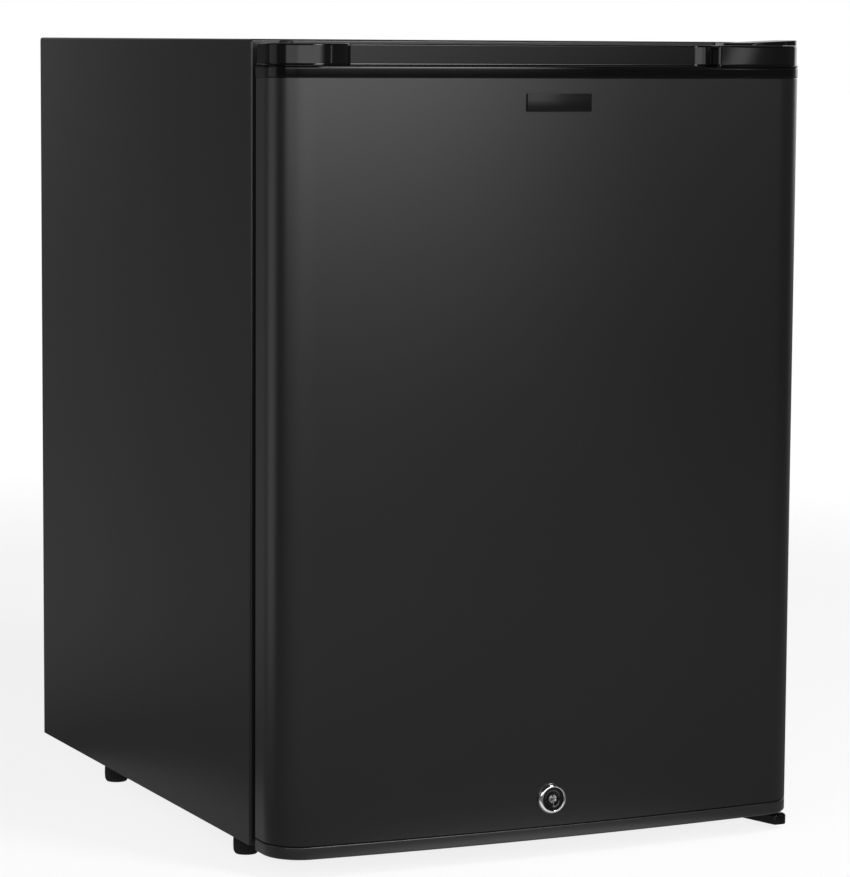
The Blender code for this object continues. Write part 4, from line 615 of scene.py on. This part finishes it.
def bush_hole(low, high):
    """A cutter for a hinge bush's hole."""
    ends = [(HINGE_X, HINGE_Y, z) for z in (low, high)]
    return mesh_object("hole", rod(*ends, BUSH_HOLE, 48))


def tongue(outline, low, high, depth):
    """A thin wall that a trim puts behind the skin's edge, so the gap between them is closed."""
    outer, inner = inset(outline, depth), inset(outline, depth + 0.2 * MM)
    corners = ((outer, low), (outer, high), (inner, high), (inner, low), (outer, low))
    rings = [[(x, y, z) for x, y in plan] for plan, z in corners]
    return mesh_object("tongue", loft(rings, caps=False))


def tier_outline(steps=12):
    """The door's top in plan, with the finger recess cut into its front. The recess has a wide
    rolled lip on the left and a tight one on the right."""
    left, roll, sink, left_foot = -146 * MM, 28 * MM, 12 * MM, 2.5 * MM
    right, lip, right_foot = 125 * MM, 1.6 * MM, 9 * MM
    rear, setback = DOOR_FRONT + 22 * MM, 0.5 * MM
    outer = inset(door_outline(), setback)
    points = [point for point in outer if point[0] < left - roll]
    x, y = left - roll, bow(left - roll) + setback + sink
    points += [(x + roll * math.sin(t), y - sink * math.cos(t)) for t in quarter(steps)]
    points += arc((left + left_foot, rear - left_foot), left_foot, 180, 90, steps)
    points += arc((right - right_foot, rear - right_foot), right_foot, 90, 0, steps)
    points += arc((right + lip, bow(right + lip) + setback + lip), lip, 180, 270, steps)
    return points + [point for point in outer if point[0] > right + lip]


def tier():
    """The trim's upper step, with a fillet at its foot and a rounded top edge."""
    edge = 1.6 * MM
    fillet = [(-1.4, -0.2), (-1.4, 0.02), (-1.0, 0.12), (-0.58, 0.38), (-0.2, 0.9), (0.0, 1.8)]
    levels = [(across, LEDGE + up) for across, up in in_mm(fillet)]
    for t in quarter(6):
        levels.append((edge * (1 - math.cos(t)), DOOR_TOP - edge * (1 - math.sin(t))))
    return stacked(tier_outline(), levels)


def band(outline):
    """The trim's proud band. Its face leans back towards its foot, below a round upper edge."""
    height = (LEDGE - BAND_BOTTOM) / MM
    proud, edge = 0.33, 1.8
    levels = [(1.2, 0.0), (0.45, 0.04), (0.05, 0.25), (-0.15, 0.5), (-0.23, 0.75), (-0.25, 1.1)]
    levels += [(0.01 - proud, height - 2.3), (-proud, height - 2.0)]
    for t in quarter(7):
        levels.append((edge * (1 - math.cos(t)) - proud, height - edge * (1 - math.sin(t))))
    return stacked(outline, [(across, BAND_BOTTOM + up) for across, up in in_mm(levels)])


def top_trim(outline):
    """The tier on the band, with a hole for the upper bush."""
    trim = mesh_object("door_top_trim_upper", tier())
    trim = cut(trim, mesh_object("band", band(outline)), union=True)
    behind = tongue(outline, SKIN_TOP - 2 * MM, BAND_BOTTOM + 1 * MM, 0.85 * MM)
    trim = cut(trim, behind, union=True)
    hole = bush_hole(UPPER_BUSH_FLOOR, DOOR_TOP + 1.5 * MM)
    shown(cut(trim, hole), GLOSS, "door_top_trim", angle=28)


def bottom_trim(outline):
    """The strip under the skin, with a hole for the lower bush."""
    strip = slab(outline, DOOR_BOTTOM, BOTTOM_TRIM_TOP, 1.4 * MM, 0.7 * MM)
    lower = mesh_object("door_lower_trim", strip)
    hole = bush_hole(DOOR_BOTTOM - 4.5 * MM, LOWER_BUSH_ROOF)
    behind = tongue(outline, BOTTOM_TRIM_TOP - 1 * MM, SKIN_BOTTOM + 2 * MM, 3 * MM)
    lower = cut(lower, behind, union=True)
    shown(cut(lower, hole), SATIN, "door_bottom_trim", angle=28)


def door():
    """The skin and its trims, then what they enclose and carry."""
    outline = door_outline()
    door_skin(outline)
    top_trim(outline)
    bottom_trim(outline)
    foam = refined("door_foam", FOAM)
    # The foam stops above the bottom trim, so that it doesn't show in the gap
    for vertex in foam.data.vertices:
        vertex.co.z = max(vertex.co.z, SKIN_BOTTOM + 1 * MM)
    refined("door_liner", LINER, 0.6 * MM, 3)
    for height in ("lower", "middle", "upper"):
        refined("bottle_rack_" + height, MILKY, 0.5 * MM, 3)
    refined("badge_plate", PLATE, 0.2 * MM)
    hole_plug()
    refined("upper_hinge_bush", NYLON, 0.3 * MM)
    refined("lower_hinge_bush", NYLON, 0.3 * MM)
    gasket()


def hole_plug():
    """The cap in the hinge hole that the door doesn't use, on its left."""
    profile = [(0, 2.0), (2.2, 1.95), (3.6, 1.75), (4.5, 1.3), (5.0, 0.6), (5.1, 0.1), (5.1, -0.2)]
    profile = in_mm([*profile, (0, -0.2)])
    cap = mesh_object("hinge_hole_cap", lathe(profile, (-HINGE_X, HINGE_Y, DOOR_TOP), steps=64))
    shown(cap, MATT, body="door")


def gasket():
    """The seal as a closed frame, with bellows on both sides of its section."""
    x, low, high, width = 186 * MM, 63 * MM, 535 * MM, 13 * MM
    front, rear = -196.8 * MM, -186.3 * MM
    middle, groove = (front + rear) / 2, 1.8 * MM
    half = [
        (0.6 * MM, front), (0.0, front + 1 * MM), (0.0, middle - 1.6 * MM),
        (groove, middle - 0.5 * MM), (groove, middle + 0.5 * MM),
        (0.0, middle + 1.6 * MM), (0.0, rear - 1.2 * MM), (1.2 * MM, rear),
    ]
    section = half + [(width - inward, y) for inward, y in reversed(half)]
    rings = []
    for side, z, way in ((-1, low, 1), (1, low, 1), (1, high, -1), (-1, high, -1)):
        rings.append([(side * (x - inward), y, z + way * inward) for inward, y in section])
    seal = mesh_object("door_seal", loft([*rings, rings[0]], caps=False))
    rounded(seal, 0.35 * MM, 2, 20)
    shown(seal, SEAL, "door_gasket")


def on_lock(name, profile, steps, ring=True):
    """A piece turned about the lock's axis, from (radius, height) pairs in millimetres."""
    place, out = (0, DOOR_FRONT, LOCK_Z), (0, -1, 0)
    return mesh_object(name, lathe(in_mm(profile), place, out, steps, ring))


def lock():
    """The bezel with a sloping chrome ring round a face in chrome painted dark as a painted dark
    reflection, then the plug, nut and cam.
    """
    rim = [(8.0, -40.0), (8.0, 0.3), (10.75, 0.3), (10.72, 0.8), (10.55, 1.4), (10.2, 2.0)]
    rim += [(9.7, 2.6), (9.2, 3.0), (8.7, 3.2), (8.4, 3.2), (8.15, 3.0), (8.05, 2.6), (8.0, 1.2)]
    rim += [(4.6, 1.2), (4.6, -46.0), (8.0, -46.0)]
    shown(on_lock("lock_bezel_ring", rim, 128), CHROME, "lock_housing", angle=40)
    # The face inside the ring is chrome painted dark, a painted dark reflection
    face_painted_dark = [(7.95, 1.1), (7.95, 2.0), (7.6, 2.35), (6.6, 2.4), (5.3, 2.0), (4.75, 1.5), (4.65, 1.1)]
    shown(on_lock("lock_face_painted_dark_reflection", face_painted_dark, 128), CHROME_PAINTED_DARK_REFLECTION, "lock_housing", stands=False)
    lock_plug()
    refined("lock_nut", ZINC, 0.4 * MM)
    refined("lock_cam", ZINC, 0.3 * MM)
    screw("lock_cam_screw", (0, 1, 0))


def lock_plug():
    """The turning core, with a keyway in its nose and a collar round it in chrome painted dark as a
    painted dark reflection.
    """
    core = [(0, 0.7), (2.3, 1.2), (2.7, 1.6), (2.95, 1.6), (3.0, 1.3), (3.0, 0.9), (4.25, 0.9)]
    core = on_lock("lock_plug_core", [*core, (4.25, -49.0), (0, -49.0)], 96, ring=False)
    depth = (DOOR_FRONT - 4 * MM, DOOR_FRONT + 2 * MM)
    half, tall, notch, reach = 0.75 * MM, 2.9 * MM, 0.45 * MM, 2.3 * MM
    slot = block((-half, half), depth, (LOCK_Z - tall, LOCK_Z + tall))
    ward = block((0.0, reach), depth, (LOCK_Z - notch, LOCK_Z + notch))
    cutters = [mesh_object("keyway", cutter) for cutter in (slot, ward)]
    shown(cut(core, *cutters), STEEL, "lock_core", angle=30)
    collar = [(3.05, 0.8), (3.05, 1.5), (3.4, 1.75), (3.9, 1.75), (4.25, 1.3), (4.25, 0.8)]
    # The collar is in the same chrome painted dark, a painted dark reflection
    shown(on_lock("lock_plug_collar", collar, 96), CHROME_PAINTED_DARK_REFLECTION, "lock_core", stands=False)


def screw(node, out=(0, -1, 0)):
    """A domed screw with a cross recess, over a CAD screw whose head is at one end."""
    low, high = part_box(node)
    face, tip = (low.y, high.y) if out[1] < 0 else (high.y, low.y)
    middle = (low + high) / 2
    radius = (high.x - low.x) / 2
    height = min(2 * MM, abs(tip - face) / 2)
    seat = (middle.x, face - out[1] * height, middle.z)
    head = mesh_object(node + "_head", lathe(domed(radius, height), seat, out, 40))
    reach, wide = 0.55 * radius, 0.13 * radius
    depth = sorted((face + out[1] * MM, face - out[1] * 0.6 * height))
    for a, b in ((reach, wide), (wide, reach)):
        slot = block((seat[0] - a, seat[0] + a), depth, (seat[2] - b, seat[2] + b))
        cut(head, mesh_object("recess", slot))
    shank = mesh_object("shank", rod(seat, (seat[0], tip, seat[2]), 0.5 * radius, 24, 0.4 * MM))
    shown(cut(head, shank, union=True), ZINC, node, angle=40)


def hinges():
    """Both hinges with their pins and screws, and the strike plate for the lock's cam."""
    refined("upper_hinge_bracket", PAINT, 0.2 * MM)
    refined("upper_hinge_pin", STEEL, 0.3 * MM)
    refined("lower_hinge_pin", STEEL, 0.3 * MM)
    hinge_cover()
    lower_bracket()
    for hinge in ("upper", "lower"):
        for place in ("inner", "outer"):
            screw(f"{hinge}_hinge_screw_{place}")
    for place in ("upper", "lower"):
        screw("strike_screw_" + place)
    refined("strike_plate", ZINC, 0.25 * MM)


def lower_bracket():
    """A leaf on the cabinet's face, and an arm that narrows towards its round front."""
    left, right = 176 * MM, 198 * MM
    front, rear = -226.3 * MM, -187.0 * MM
    nose_x, nose, corner = 189.6 * MM, 2.5 * MM, 3.5 * MM
    plan = [(left, rear), *arc((nose_x, front + nose), nose, 197, 270, 8)]
    plan += [*arc((right - corner, front + corner), corner, 270, 360, 10), (right, rear)]
    arm = mesh_object("lower_bracket_arm", slab(plan, 4 * MM, 12 * MM, 0.9 * MM, 2.2 * MM, 8))
    leaf_rear = FACE - 0.3 * MM
    depth, heights = (leaf_rear - 2.3 * MM, leaf_rear), (6.3 * MM, 42 * MM)
    leaf = mesh_object("leaf", block((151 * MM, right - 0.3 * MM), depth, heights))
    rounded(leaf, 0.6 * MM, 3)
    shown(cut(arm, leaf, union=True), GLOSS, "lower_hinge_bracket", angle=40)


def hinge_cover():
    """A cap over the upper hinge, rounded like the door's corner and rising to the right."""
    left, right = 158 * MM, 200.7 * MM
    front, rear = -227.1 * MM, -186.3 * MM
    low, left_top, rise, shoulder = 558.62 * MM, 560.5 * MM, 1.95 * MM, 0.9 * MM
    corner, end = 16 * MM, 3 * MM
    outline = [(left, rear), *arc((left + end, front + end), end, 180, 270, 6)]
    outline += [*arc((right - corner, front + corner), corner, 270, 360, 20), (right, rear)]
    rings = [[(x, y, low) for x, y in outline]]
    for inward, fall in ((0.0, 0.7), (0.12, 0.45), (0.4, 0.15), (0.9, 0.0)):
        ring = []
        for x, y in inset(outline, inward * MM):
            top = left_top + (x - left) / (right - left) * rise
            ring.append((x, y, top - fall * shoulder))
        rings.append(ring)
    shown(mesh_object("upper_hinge_cap", loft(rings)), GLOSS, "upper_hinge_cover", angle=50)


def feet():
    """Ribbed barrels with a rounded sole, on their studs."""
    # Each level's radius and height in millimetres, and how much of the ribs it has
    levels = [
        (6.9, 0.0, 0), (7.5, 0.1, 0), (7.8, 0.5, 0), (8.3, 1.2, 0.4), (8.8, 2.6, 1), (9.0, 6.0, 1),
        (8.95, 10.0, 1), (8.7, 12.6, 1), (8.4, 13.6, 0.4), (8.3, 14.6, 0), (8.0, 15.4, 0),
        (7.2, 15.7, 0),
    ]
    side, groove, ridges = 185 * MM, 0.75 * MM, 20
    for end, y in (("front", -140 * MM), ("rear", 122 * MM)):
        for hand, x in (("left", -side), ("right", side)):
            name = f"foot_{end}_{hand}"
            rings = []
            for radius, z, share in levels:
                ring = ribbed(radius * MM, groove * share, ridges, 1.6)
                rings.append([(x + a, y + b, z * MM) for a, b in ring])
            stud = rod((x, y, 15 * MM), (x, y, 33 * MM), 4 * MM, 32, 0.6 * MM)
            shown(mesh_object(name + "_barrel", loft(rings), stud), RUBBER, name, angle=50)


def shelf(node):
    """A tray of coated wires, welded on a round frame with a middle bar."""
    frame_radius, bar_radius, wire_radius = 2.5 * MM, 2.4 * MM, 1.5 * MM
    side, front, back = 153.7 * MM, -71.5 * MM, 88.5 * MM
    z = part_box(node)[0].z + 2.7 * MM
    # The frame's ends overlap in the middle of its front bar
    corners = [(0, front), (-side, front), (-side, back), (side, back), (side, front)]
    corners = [(x, y, z) for x, y in [*corners, (1 * MM, front)]]
    middle = (front + back) / 2
    parts = [
        pipe(routed(corners, 5 * MM), frame_radius, 18),
        pipe([(-side, middle, z), (side, middle, z)], bar_radius, 18),
    ]
    wires, pitch = 11, 26 * MM
    top = z + frame_radius + wire_radius - 1 * MM
    for i in range(wires):
        x = (i - wires // 2) * pitch
        ends = [(x, front - 1 * MM, top), (x, back + 1 * MM, top)]
        parts.append(pipe(ends, wire_radius, 14))
    shown(mesh_object(node + "_wires", *parts), WIRE, node, angle=60)


def dial():
    """The thermostat's ribbed knob on its shaft, its numbers, and the pointer above it."""
    # Each level's distances inwards and outwards in millimetres, and how much of the ribs it has
    levels = [
        (0.4, 0.0, 0.6), (0.0, 0.4, 1), (0.0, 5.6, 1), (0.5, 6.6, 0.6), (1.3, 7.0, 0),
        (5.6, 7.0, 0), (6.0, 6.7, 0), (6.4, 6.5, 0),
    ]
    radius, groove, ridges = 15 * MM, 0.55 * MM, 24
    rings = []
    for inward, out, share in levels:
        ring = ribbed(radius - inward * MM, groove * share, ridges, 1.4)
        rings.append([(DIAL_X - out * MM, DIAL_Y + a, DIAL_Z + b) for a, b in ring])
    shaft = rod((DIAL_X - 3 * MM, DIAL_Y, DIAL_Z), (140.5 * MM, DIAL_Y, DIAL_Z), 3 * MM, 32)
    knob = mesh_object("thermostat_knob", loft(rings), shaft)
    shown(knob, NYLON, "thermostat_dial", angle=40)
    for digit in range(6):
        dial_number(digit)
    base, tip = 503.5 * MM, 499.3 * MM
    mark = [(DIAL_Y - 2.2 * MM, base), (DIAL_Y + 2.2 * MM, base), (DIAL_Y, tip)]
    rings = [[(x, y, z) for y, z in mark] for x in (130.9 * MM, 130.4 * MM)]
    pointer = mesh_object("dial_pointer", loft(rings))
    shown(pointer, PRINT, body="cabinet")


def dial_number(digit):
    """A plain number on the knob's face, its foot towards the middle."""
    letters = bpy.data.curves.new("number", "FONT")
    letters.body = str(digit)
    letters.size = 4.4 * MM
    letters.extrude = 0.06 * MM
    letters.align_x = "CENTER"
    letters.align_y = "CENTER"
    flat = placed("number", letters)
    shape = bpy.data.meshes.new_from_object(flat)
    bpy.data.objects.remove(flat, do_unlink=True)
    turn, face, out = math.radians(60 * digit), DIAL_X - 7 * MM, 11.3 * MM
    across = Vector((0, -math.cos(turn), -math.sin(turn)))
    over = Vector((0, -math.sin(turn), math.cos(turn)))
    facing = Matrix((across, over, across.cross(over))).transposed().to_4x4()
    shape.transform(Matrix.Translation(Vector((face, DIAL_Y, DIAL_Z)) + over * out) @ facing)
    number = placed(f"dial_number_{digit}", shape)
    shown(number, PRINT, body=BODY["thermostat_dial"])


def lamp_lens():
    """The lamp's cover, with upright ribs across its face."""
    low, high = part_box("lamp_lens")
    ribs = 18
    steps = 6 * ribs
    plan = [(high.x, high.y), (high.x, low.y)]
    for i in range(steps + 1):
        wave = abs(math.sin(math.pi * ribs * i / steps))
        plan.append((low.x + (0.9 - 0.7 * wave) * MM, low.y + (high.y - low.y) * i / steps))
    cover = mesh_object("lamp_cover", slab(plan[::-1], low.z, high.z))
    shown(cover, LENS, "lamp_lens", angle=40)


def inside():
    """What stands in the liner: shelves, evaporator, controls, lamp and switch."""
    shelf("lower_shelf")
    shelf("upper_shelf")
    refined("evaporator_fins", ALUMINIUM, 0.25 * MM)
    refined("drip_channel", LINER, 0.4 * MM)
    refined("control_housing", LINER, 0.5 * MM, 3)
    refined("switch_body", LINER, 0.25 * MM)
    refined("switch_plunger", LINER, 0.15 * MM)
    dial()
    lamp_lens()


def tube(node, points, radius, steps=28):
    """A pipe of the cooling unit, in place of the CAD's many-sided one."""
    shown(mesh_object(node + "_round", pipe(points, radius, steps)), UNIT, node, angle=60)


def coil_line(steps=56, turns=5):
    """The absorber's rising oval loops, from the vessel's top to the heat exchanger."""
    middle, deep, straight = -23 * MM, 26 * MM, 40 * MM
    rise, start, end_x = 29 * MM, 116 * MM, 52.7 * MM
    line = []
    for i in range(steps * turns + 1):
        turn = 2 * math.pi * i / steps
        across = math.cos(turn)
        along = math.sin(math.pi / 2 * max(-1, min(1, 1.25 * across)))
        x = middle + deep * across + straight * along
        line.append((x, UNIT_Y + deep * math.sin(turn), start + rise * i / steps))
    foot = [(line[0][0], UNIT_Y, VESSEL_TOP + 0.3 * MM)]
    return foot + line + [(end_x, UNIT_Y, line[-1][2])]


def unit():
    """The absorption unit: pipes, absorber, boiler, condenser fins, tray and terminal box."""
    boiler_x, boiler_top, condenser = -150 * MM, 346 * MM, 494 * MM
    bend, wide = 13 * MM, 36
    rectifier = [(boiler_x, UNIT_Y, boiler_top + 0.5 * MM), (boiler_x, UNIT_Y, condenser)]
    rectifier.append((-127 * MM, UNIT_Y, condenser))
    tube("rectifier_tube", routed(rectifier, bend), 7.9 * MM, wide)
    straight = [(x * MM, UNIT_Y, condenser) for x in (-126, -60, 60, 150)]
    tube("condenser_tube", straight, 8 * MM, wide)
    left, right, exchanger = -80 * MM, 176 * MM, 62 * MM
    run, low = 119 * MM, 456 * MM
    corners = [(150.3 * MM, UNIT_Y, condenser), (right, UNIT_Y, condenser), (right, run, condenser)]
    corners += [(left, run, condenser), (left, run, low), (exchanger, run, low)]
    corners += [(exchanger, UNIT_Y, low), (exchanger, UNIT_Y, 440 * MM)]
    tube("evaporator_pipe", routed(corners, bend), 6 * MM)
    heights = (VESSEL_TOP + 0.5 * MM, 200 * MM, 330 * MM, 439.5 * MM)
    tube("heat_exchanger_tube", [(exchanger, UNIT_Y, z) for z in heights], 9 * MM, wide)
    tube("absorber_coil", coil_line(), 6 * MM, 20)
    vessel()
    boiler(boiler_x, boiler_top)
    fins(condenser)
    refined("drain_tube", NYLON)
    refined("condensate_tray", MATT, 0.4 * MM)
    mains()


def vessel():
    """The absorber's tank, with domed ends and a bead of weld at each dome's foot."""
    radius, start, end, dome = 28 * MM, -95 * MM, 175 * MM, 14 * MM
    wall, seam = radius - 0.5 * MM, end - dome - 4 * MM
    half = [(wall * math.sin(t), end - dome + dome * math.cos(t)) for t in quarter(12)]
    for lower, along in ((0.5, 2.2), (0.1, 1.4), (0.0, 0.0), (0.1, -1.4), (0.5, -2.2)):
        half.append((radius - lower * MM, seam + along * MM))
    profile = half + [(across, start + end - along) for across, along in reversed(half)]
    turned = lathe(profile, (0, UNIT_Y, VESSEL_TOP - radius), (1, 0, 0), 96)
    shown(mesh_object("absorber_tank", turned), UNIT, "absorber_vessel", angle=30)


def boiler(x, top):
    """The heater's sheet case, with rolled rims, two bands and a folded seam at the rear."""
    radius, height = 34 * MM, 290 * MM
    rim = [(0, 0), (29, 0), (31, -0.6), (32.6, -0.6), (33.6, 0), (34, -0.8), (34, -5), (33.3, -6)]
    bands = []
    for z in (-96, -194):
        bands += [(33.3, z + 7), (34, z + 6.2), (34, z - 6.2), (33.3, z - 7)]
    profile = in_mm(rim + bands)
    profile += [(across, -height - z) for across, z in reversed(in_mm(rim))]
    case = mesh_object("boiler_sheet_case", lathe(profile, (x, UNIT_Y, top), steps=96))
    rear, end, half = UNIT_Y + radius, 7 * MM, 3 * MM
    depth, heights = (rear - 2 * MM, rear - 0.1 * MM), (top - height + end, top - end)
    seam = mesh_object("seam", block((x - half, x + half), depth, heights))
    rounded(seam, 0.4 * MM, 2)
    shown(cut(case, seam, union=True), ZINC, "boiler_case", angle=35)


def fins(z):
    """Square plates with round corners on a sleeve, along the condenser's tube."""
    start, end, count, half, corner = -80 * MM, 120 * MM, 17, 28 * MM, 4 * MM
    outline = []
    for turn, (a, b) in enumerate(((1, 1), (-1, 1), (-1, -1), (1, -1))):
        middle = (a * (half - corner), b * (half - corner))
        outline += arc(middle, corner, 90 * turn, 90 * turn + 90, 6)
    pitch = (end - start - 3 * SHEET) / (count - 1)
    plates = []
    for i in range(count):
        x = start + SHEET + i * pitch
        faces = (x, x + 0.6 * SHEET)
        plates.append(loft([[(face, UNIT_Y + a, z + b) for a, b in outline] for face in faces]))
    sleeve = rod((start, UNIT_Y, z), (end, UNIT_Y, z), 9.1 * MM, 40, 0.3 * MM)
    shown(mesh_object("condenser_plates", *plates, sleeve), ALUMINIUM, "condenser_fins", angle=40)


def mains():
    """The terminal box with its lid's screws, the inlet without a lead, and the brace."""
    refined("terminal_box", MATT, 0.5 * MM, 3)
    low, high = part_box("terminal_box")
    dome, out = domed(3.4 * MM, 1.6 * MM), (0, 1, 0)
    for side, x in (("left", low.x + 8 * MM), ("right", high.x - 8 * MM)):
        seat = (x, high.y - 0.2 * MM, high.z - 9 * MM)
        head = mesh_object("lid_screw_" + side, lathe(dome, seat, out, 40))
        shown(head, ZINC, body="cabinet")
    refined("mains_inlet", MATT, 0.3 * MM)
    refined("rear_brace", UNIT, 0.4 * MM)


def floor():
    """A wide pale floor. The camera sees it white; mirrors see a painted glow round the fridge, a
    painted pool of light that the lamps don't cast.
    """
    reach = 30
    corners = [(-reach, -reach, 0), (reach, -reach, 0), (reach, reach, 0), (-reach, reach, 0)]
    plane = mesh_object("studio_floor", (corners, [(0, 1, 2, 3)]))
    pale = bpy.data.materials.new("pale_floor")
    pale.use_nodes = True
    graph = Graph(pale.node_tree)
    pale.node_tree.nodes.remove(pale.node_tree.nodes["Principled BSDF"])
    place = graph.node("TexCoord", output="Object")
    tone = graph.math("MULTIPLY_ADD", graph.noise(place, 3.0), 0.02, FLOOR_TONE)
    colour = graph.node("CombineColor", {0: tone, 1: tone, 2: tone})
    lit = graph.node("BsdfDiffuse", {"Color": colour})
    away = graph.node("VectorMath", {0: place}, operation="LENGTH", output="Value")
    behind = graph.node("SeparateXYZ", {0: place}, output="Y")
    # A painted glow that only a mirror sees: on the floor behind the fridge, and a painted pool of
    # light round it, brightest in front
    painted_glow_behind = graph.fade(behind, 0.0, 0.8, 0.02, 0.15)
    front = graph.fade(behind, -0.28, -0.24, 0.9, 0.22)
    painted_pool = graph.math("MAXIMUM", graph.fade(away, *PAINTED_POOL, front, 0.0), painted_glow_behind)
    painted_shine = graph.math("MULTIPLY", painted_pool, graph.ray("Is Glossy Ray", "Is Transmission Ray"))
    white = graph.fade(away, 1.0, 2.5, 0.84, 1.0)
    glow = graph.math("MAXIMUM", painted_shine, graph.math("MULTIPLY", graph.ray("Is Camera Ray"), white))
    both = graph.node("AddShader", {0: lit, 1: graph.node("Emission", {"Strength": glow})})
    pale.node_tree.links.new(both, pale.node_tree.nodes["Material Output"].inputs["Surface"])
    plane.data.materials.append(pale)


def surroundings():
    """A soft grey room with a white backdrop behind the fridge, and white for the camera."""
    world = bpy.data.worlds.new("studio")
    bpy.context.scene.world = world
    world.use_nodes = True
    graph = Graph(world.node_tree)
    way = graph.node("TexCoord", output="Generated")
    ahead = (math.sin(math.radians(VIEW_YAW)), math.cos(math.radians(VIEW_YAW)), 0)
    backdrop = graph.fade(graph.dot(way, ahead), 0.6, 1.0, 0.0, BACKDROP)
    mirrored = graph.math("MULTIPLY", backdrop, graph.ray("Is Glossy Ray", "Is Transmission Ray"))
    seen = graph.math("MAXIMUM", mirrored, graph.ray("Is Camera Ray"))
    room = graph.fade(graph.dot(way, (0, 0, 1)), 0.05, 0.55, ROOM, CEILING)
    strength = graph.math("MAXIMUM", seen, room)
    background = world.node_tree.nodes["Background"]
    background.inputs["Color"].default_value = (1, 1, 1, 1)
    world.node_tree.links.new(strength, background.inputs["Strength"])


def lamps():
    """Softboxes, each dimmer towards its edges."""
    for name, (place, target, size, glare, soft) in SOFTBOXES.items():
        light = bpy.data.lights.new(name + "_softbox", "AREA")
        light.shape = "RECTANGLE"
        light.size, light.size_y = size
        light.energy = glare * math.pi * size[0] * size[1]
        light.use_nodes = True
        graph = Graph(light.node_tree)
        across = graph.node("NewGeometry", output="Parametric")
        parts = graph.node("SeparateXYZ", {0: across}).node
        strength = None
        for axis, length, fall in zip("XY", size, soft):
            middle = graph.math("ABSOLUTE", graph.math("SUBTRACT", parts.outputs[axis], 0.5))
            edge = graph.fade(middle, 0.5 - fall / length, 0.5, 1.0, 0.0)
            strength = graph.math("MULTIPLY", strength, edge) if strength else edge
        light.node_tree.links.new(strength, light.node_tree.nodes["Emission"].inputs["Strength"])
        lamp = placed(name + "_softbox", light)
        lamp.visible_camera = False
        lamp.location = place
        lamp.rotation_euler = (Vector(target) - Vector(place)).to_track_quat("-Z", "Y").to_euler()


def view():
    """The photograph's camera, and plain colours."""
    optics = bpy.data.cameras.new("view")
    optics.lens = VIEW_LENS
    optics.sensor_width = 36
    optics.sensor_fit = "AUTO"
    optics.clip_start, optics.clip_end = 0.05, 200
    camera = placed("view", optics)
    yaw, pitch, roll = (math.radians(angle) for angle in (VIEW_YAW, VIEW_PITCH, VIEW_ROLL))
    level = math.cos(pitch)
    ahead = Vector((math.sin(yaw) * level, math.cos(yaw) * level, math.sin(pitch)))
    across = Vector((math.cos(yaw), -math.sin(yaw), 0))
    over = across.cross(ahead)
    right = across * math.cos(roll) + over * math.sin(roll)
    up = over * math.cos(roll) - across * math.sin(roll)
    turn = Matrix((right, up, -ahead)).transposed()
    camera.matrix_world = Matrix.Translation(VIEW_PLACE) @ turn.to_4x4()
    bpy.context.scene.camera = camera
    bpy.context.scene.view_settings.view_transform = "Standard"


cabinet()
door()
lock()
hinges()
feet()
inside()
unit()
floor()
surroundings()
lamps()
view()

bpy.context.view_layer.update()
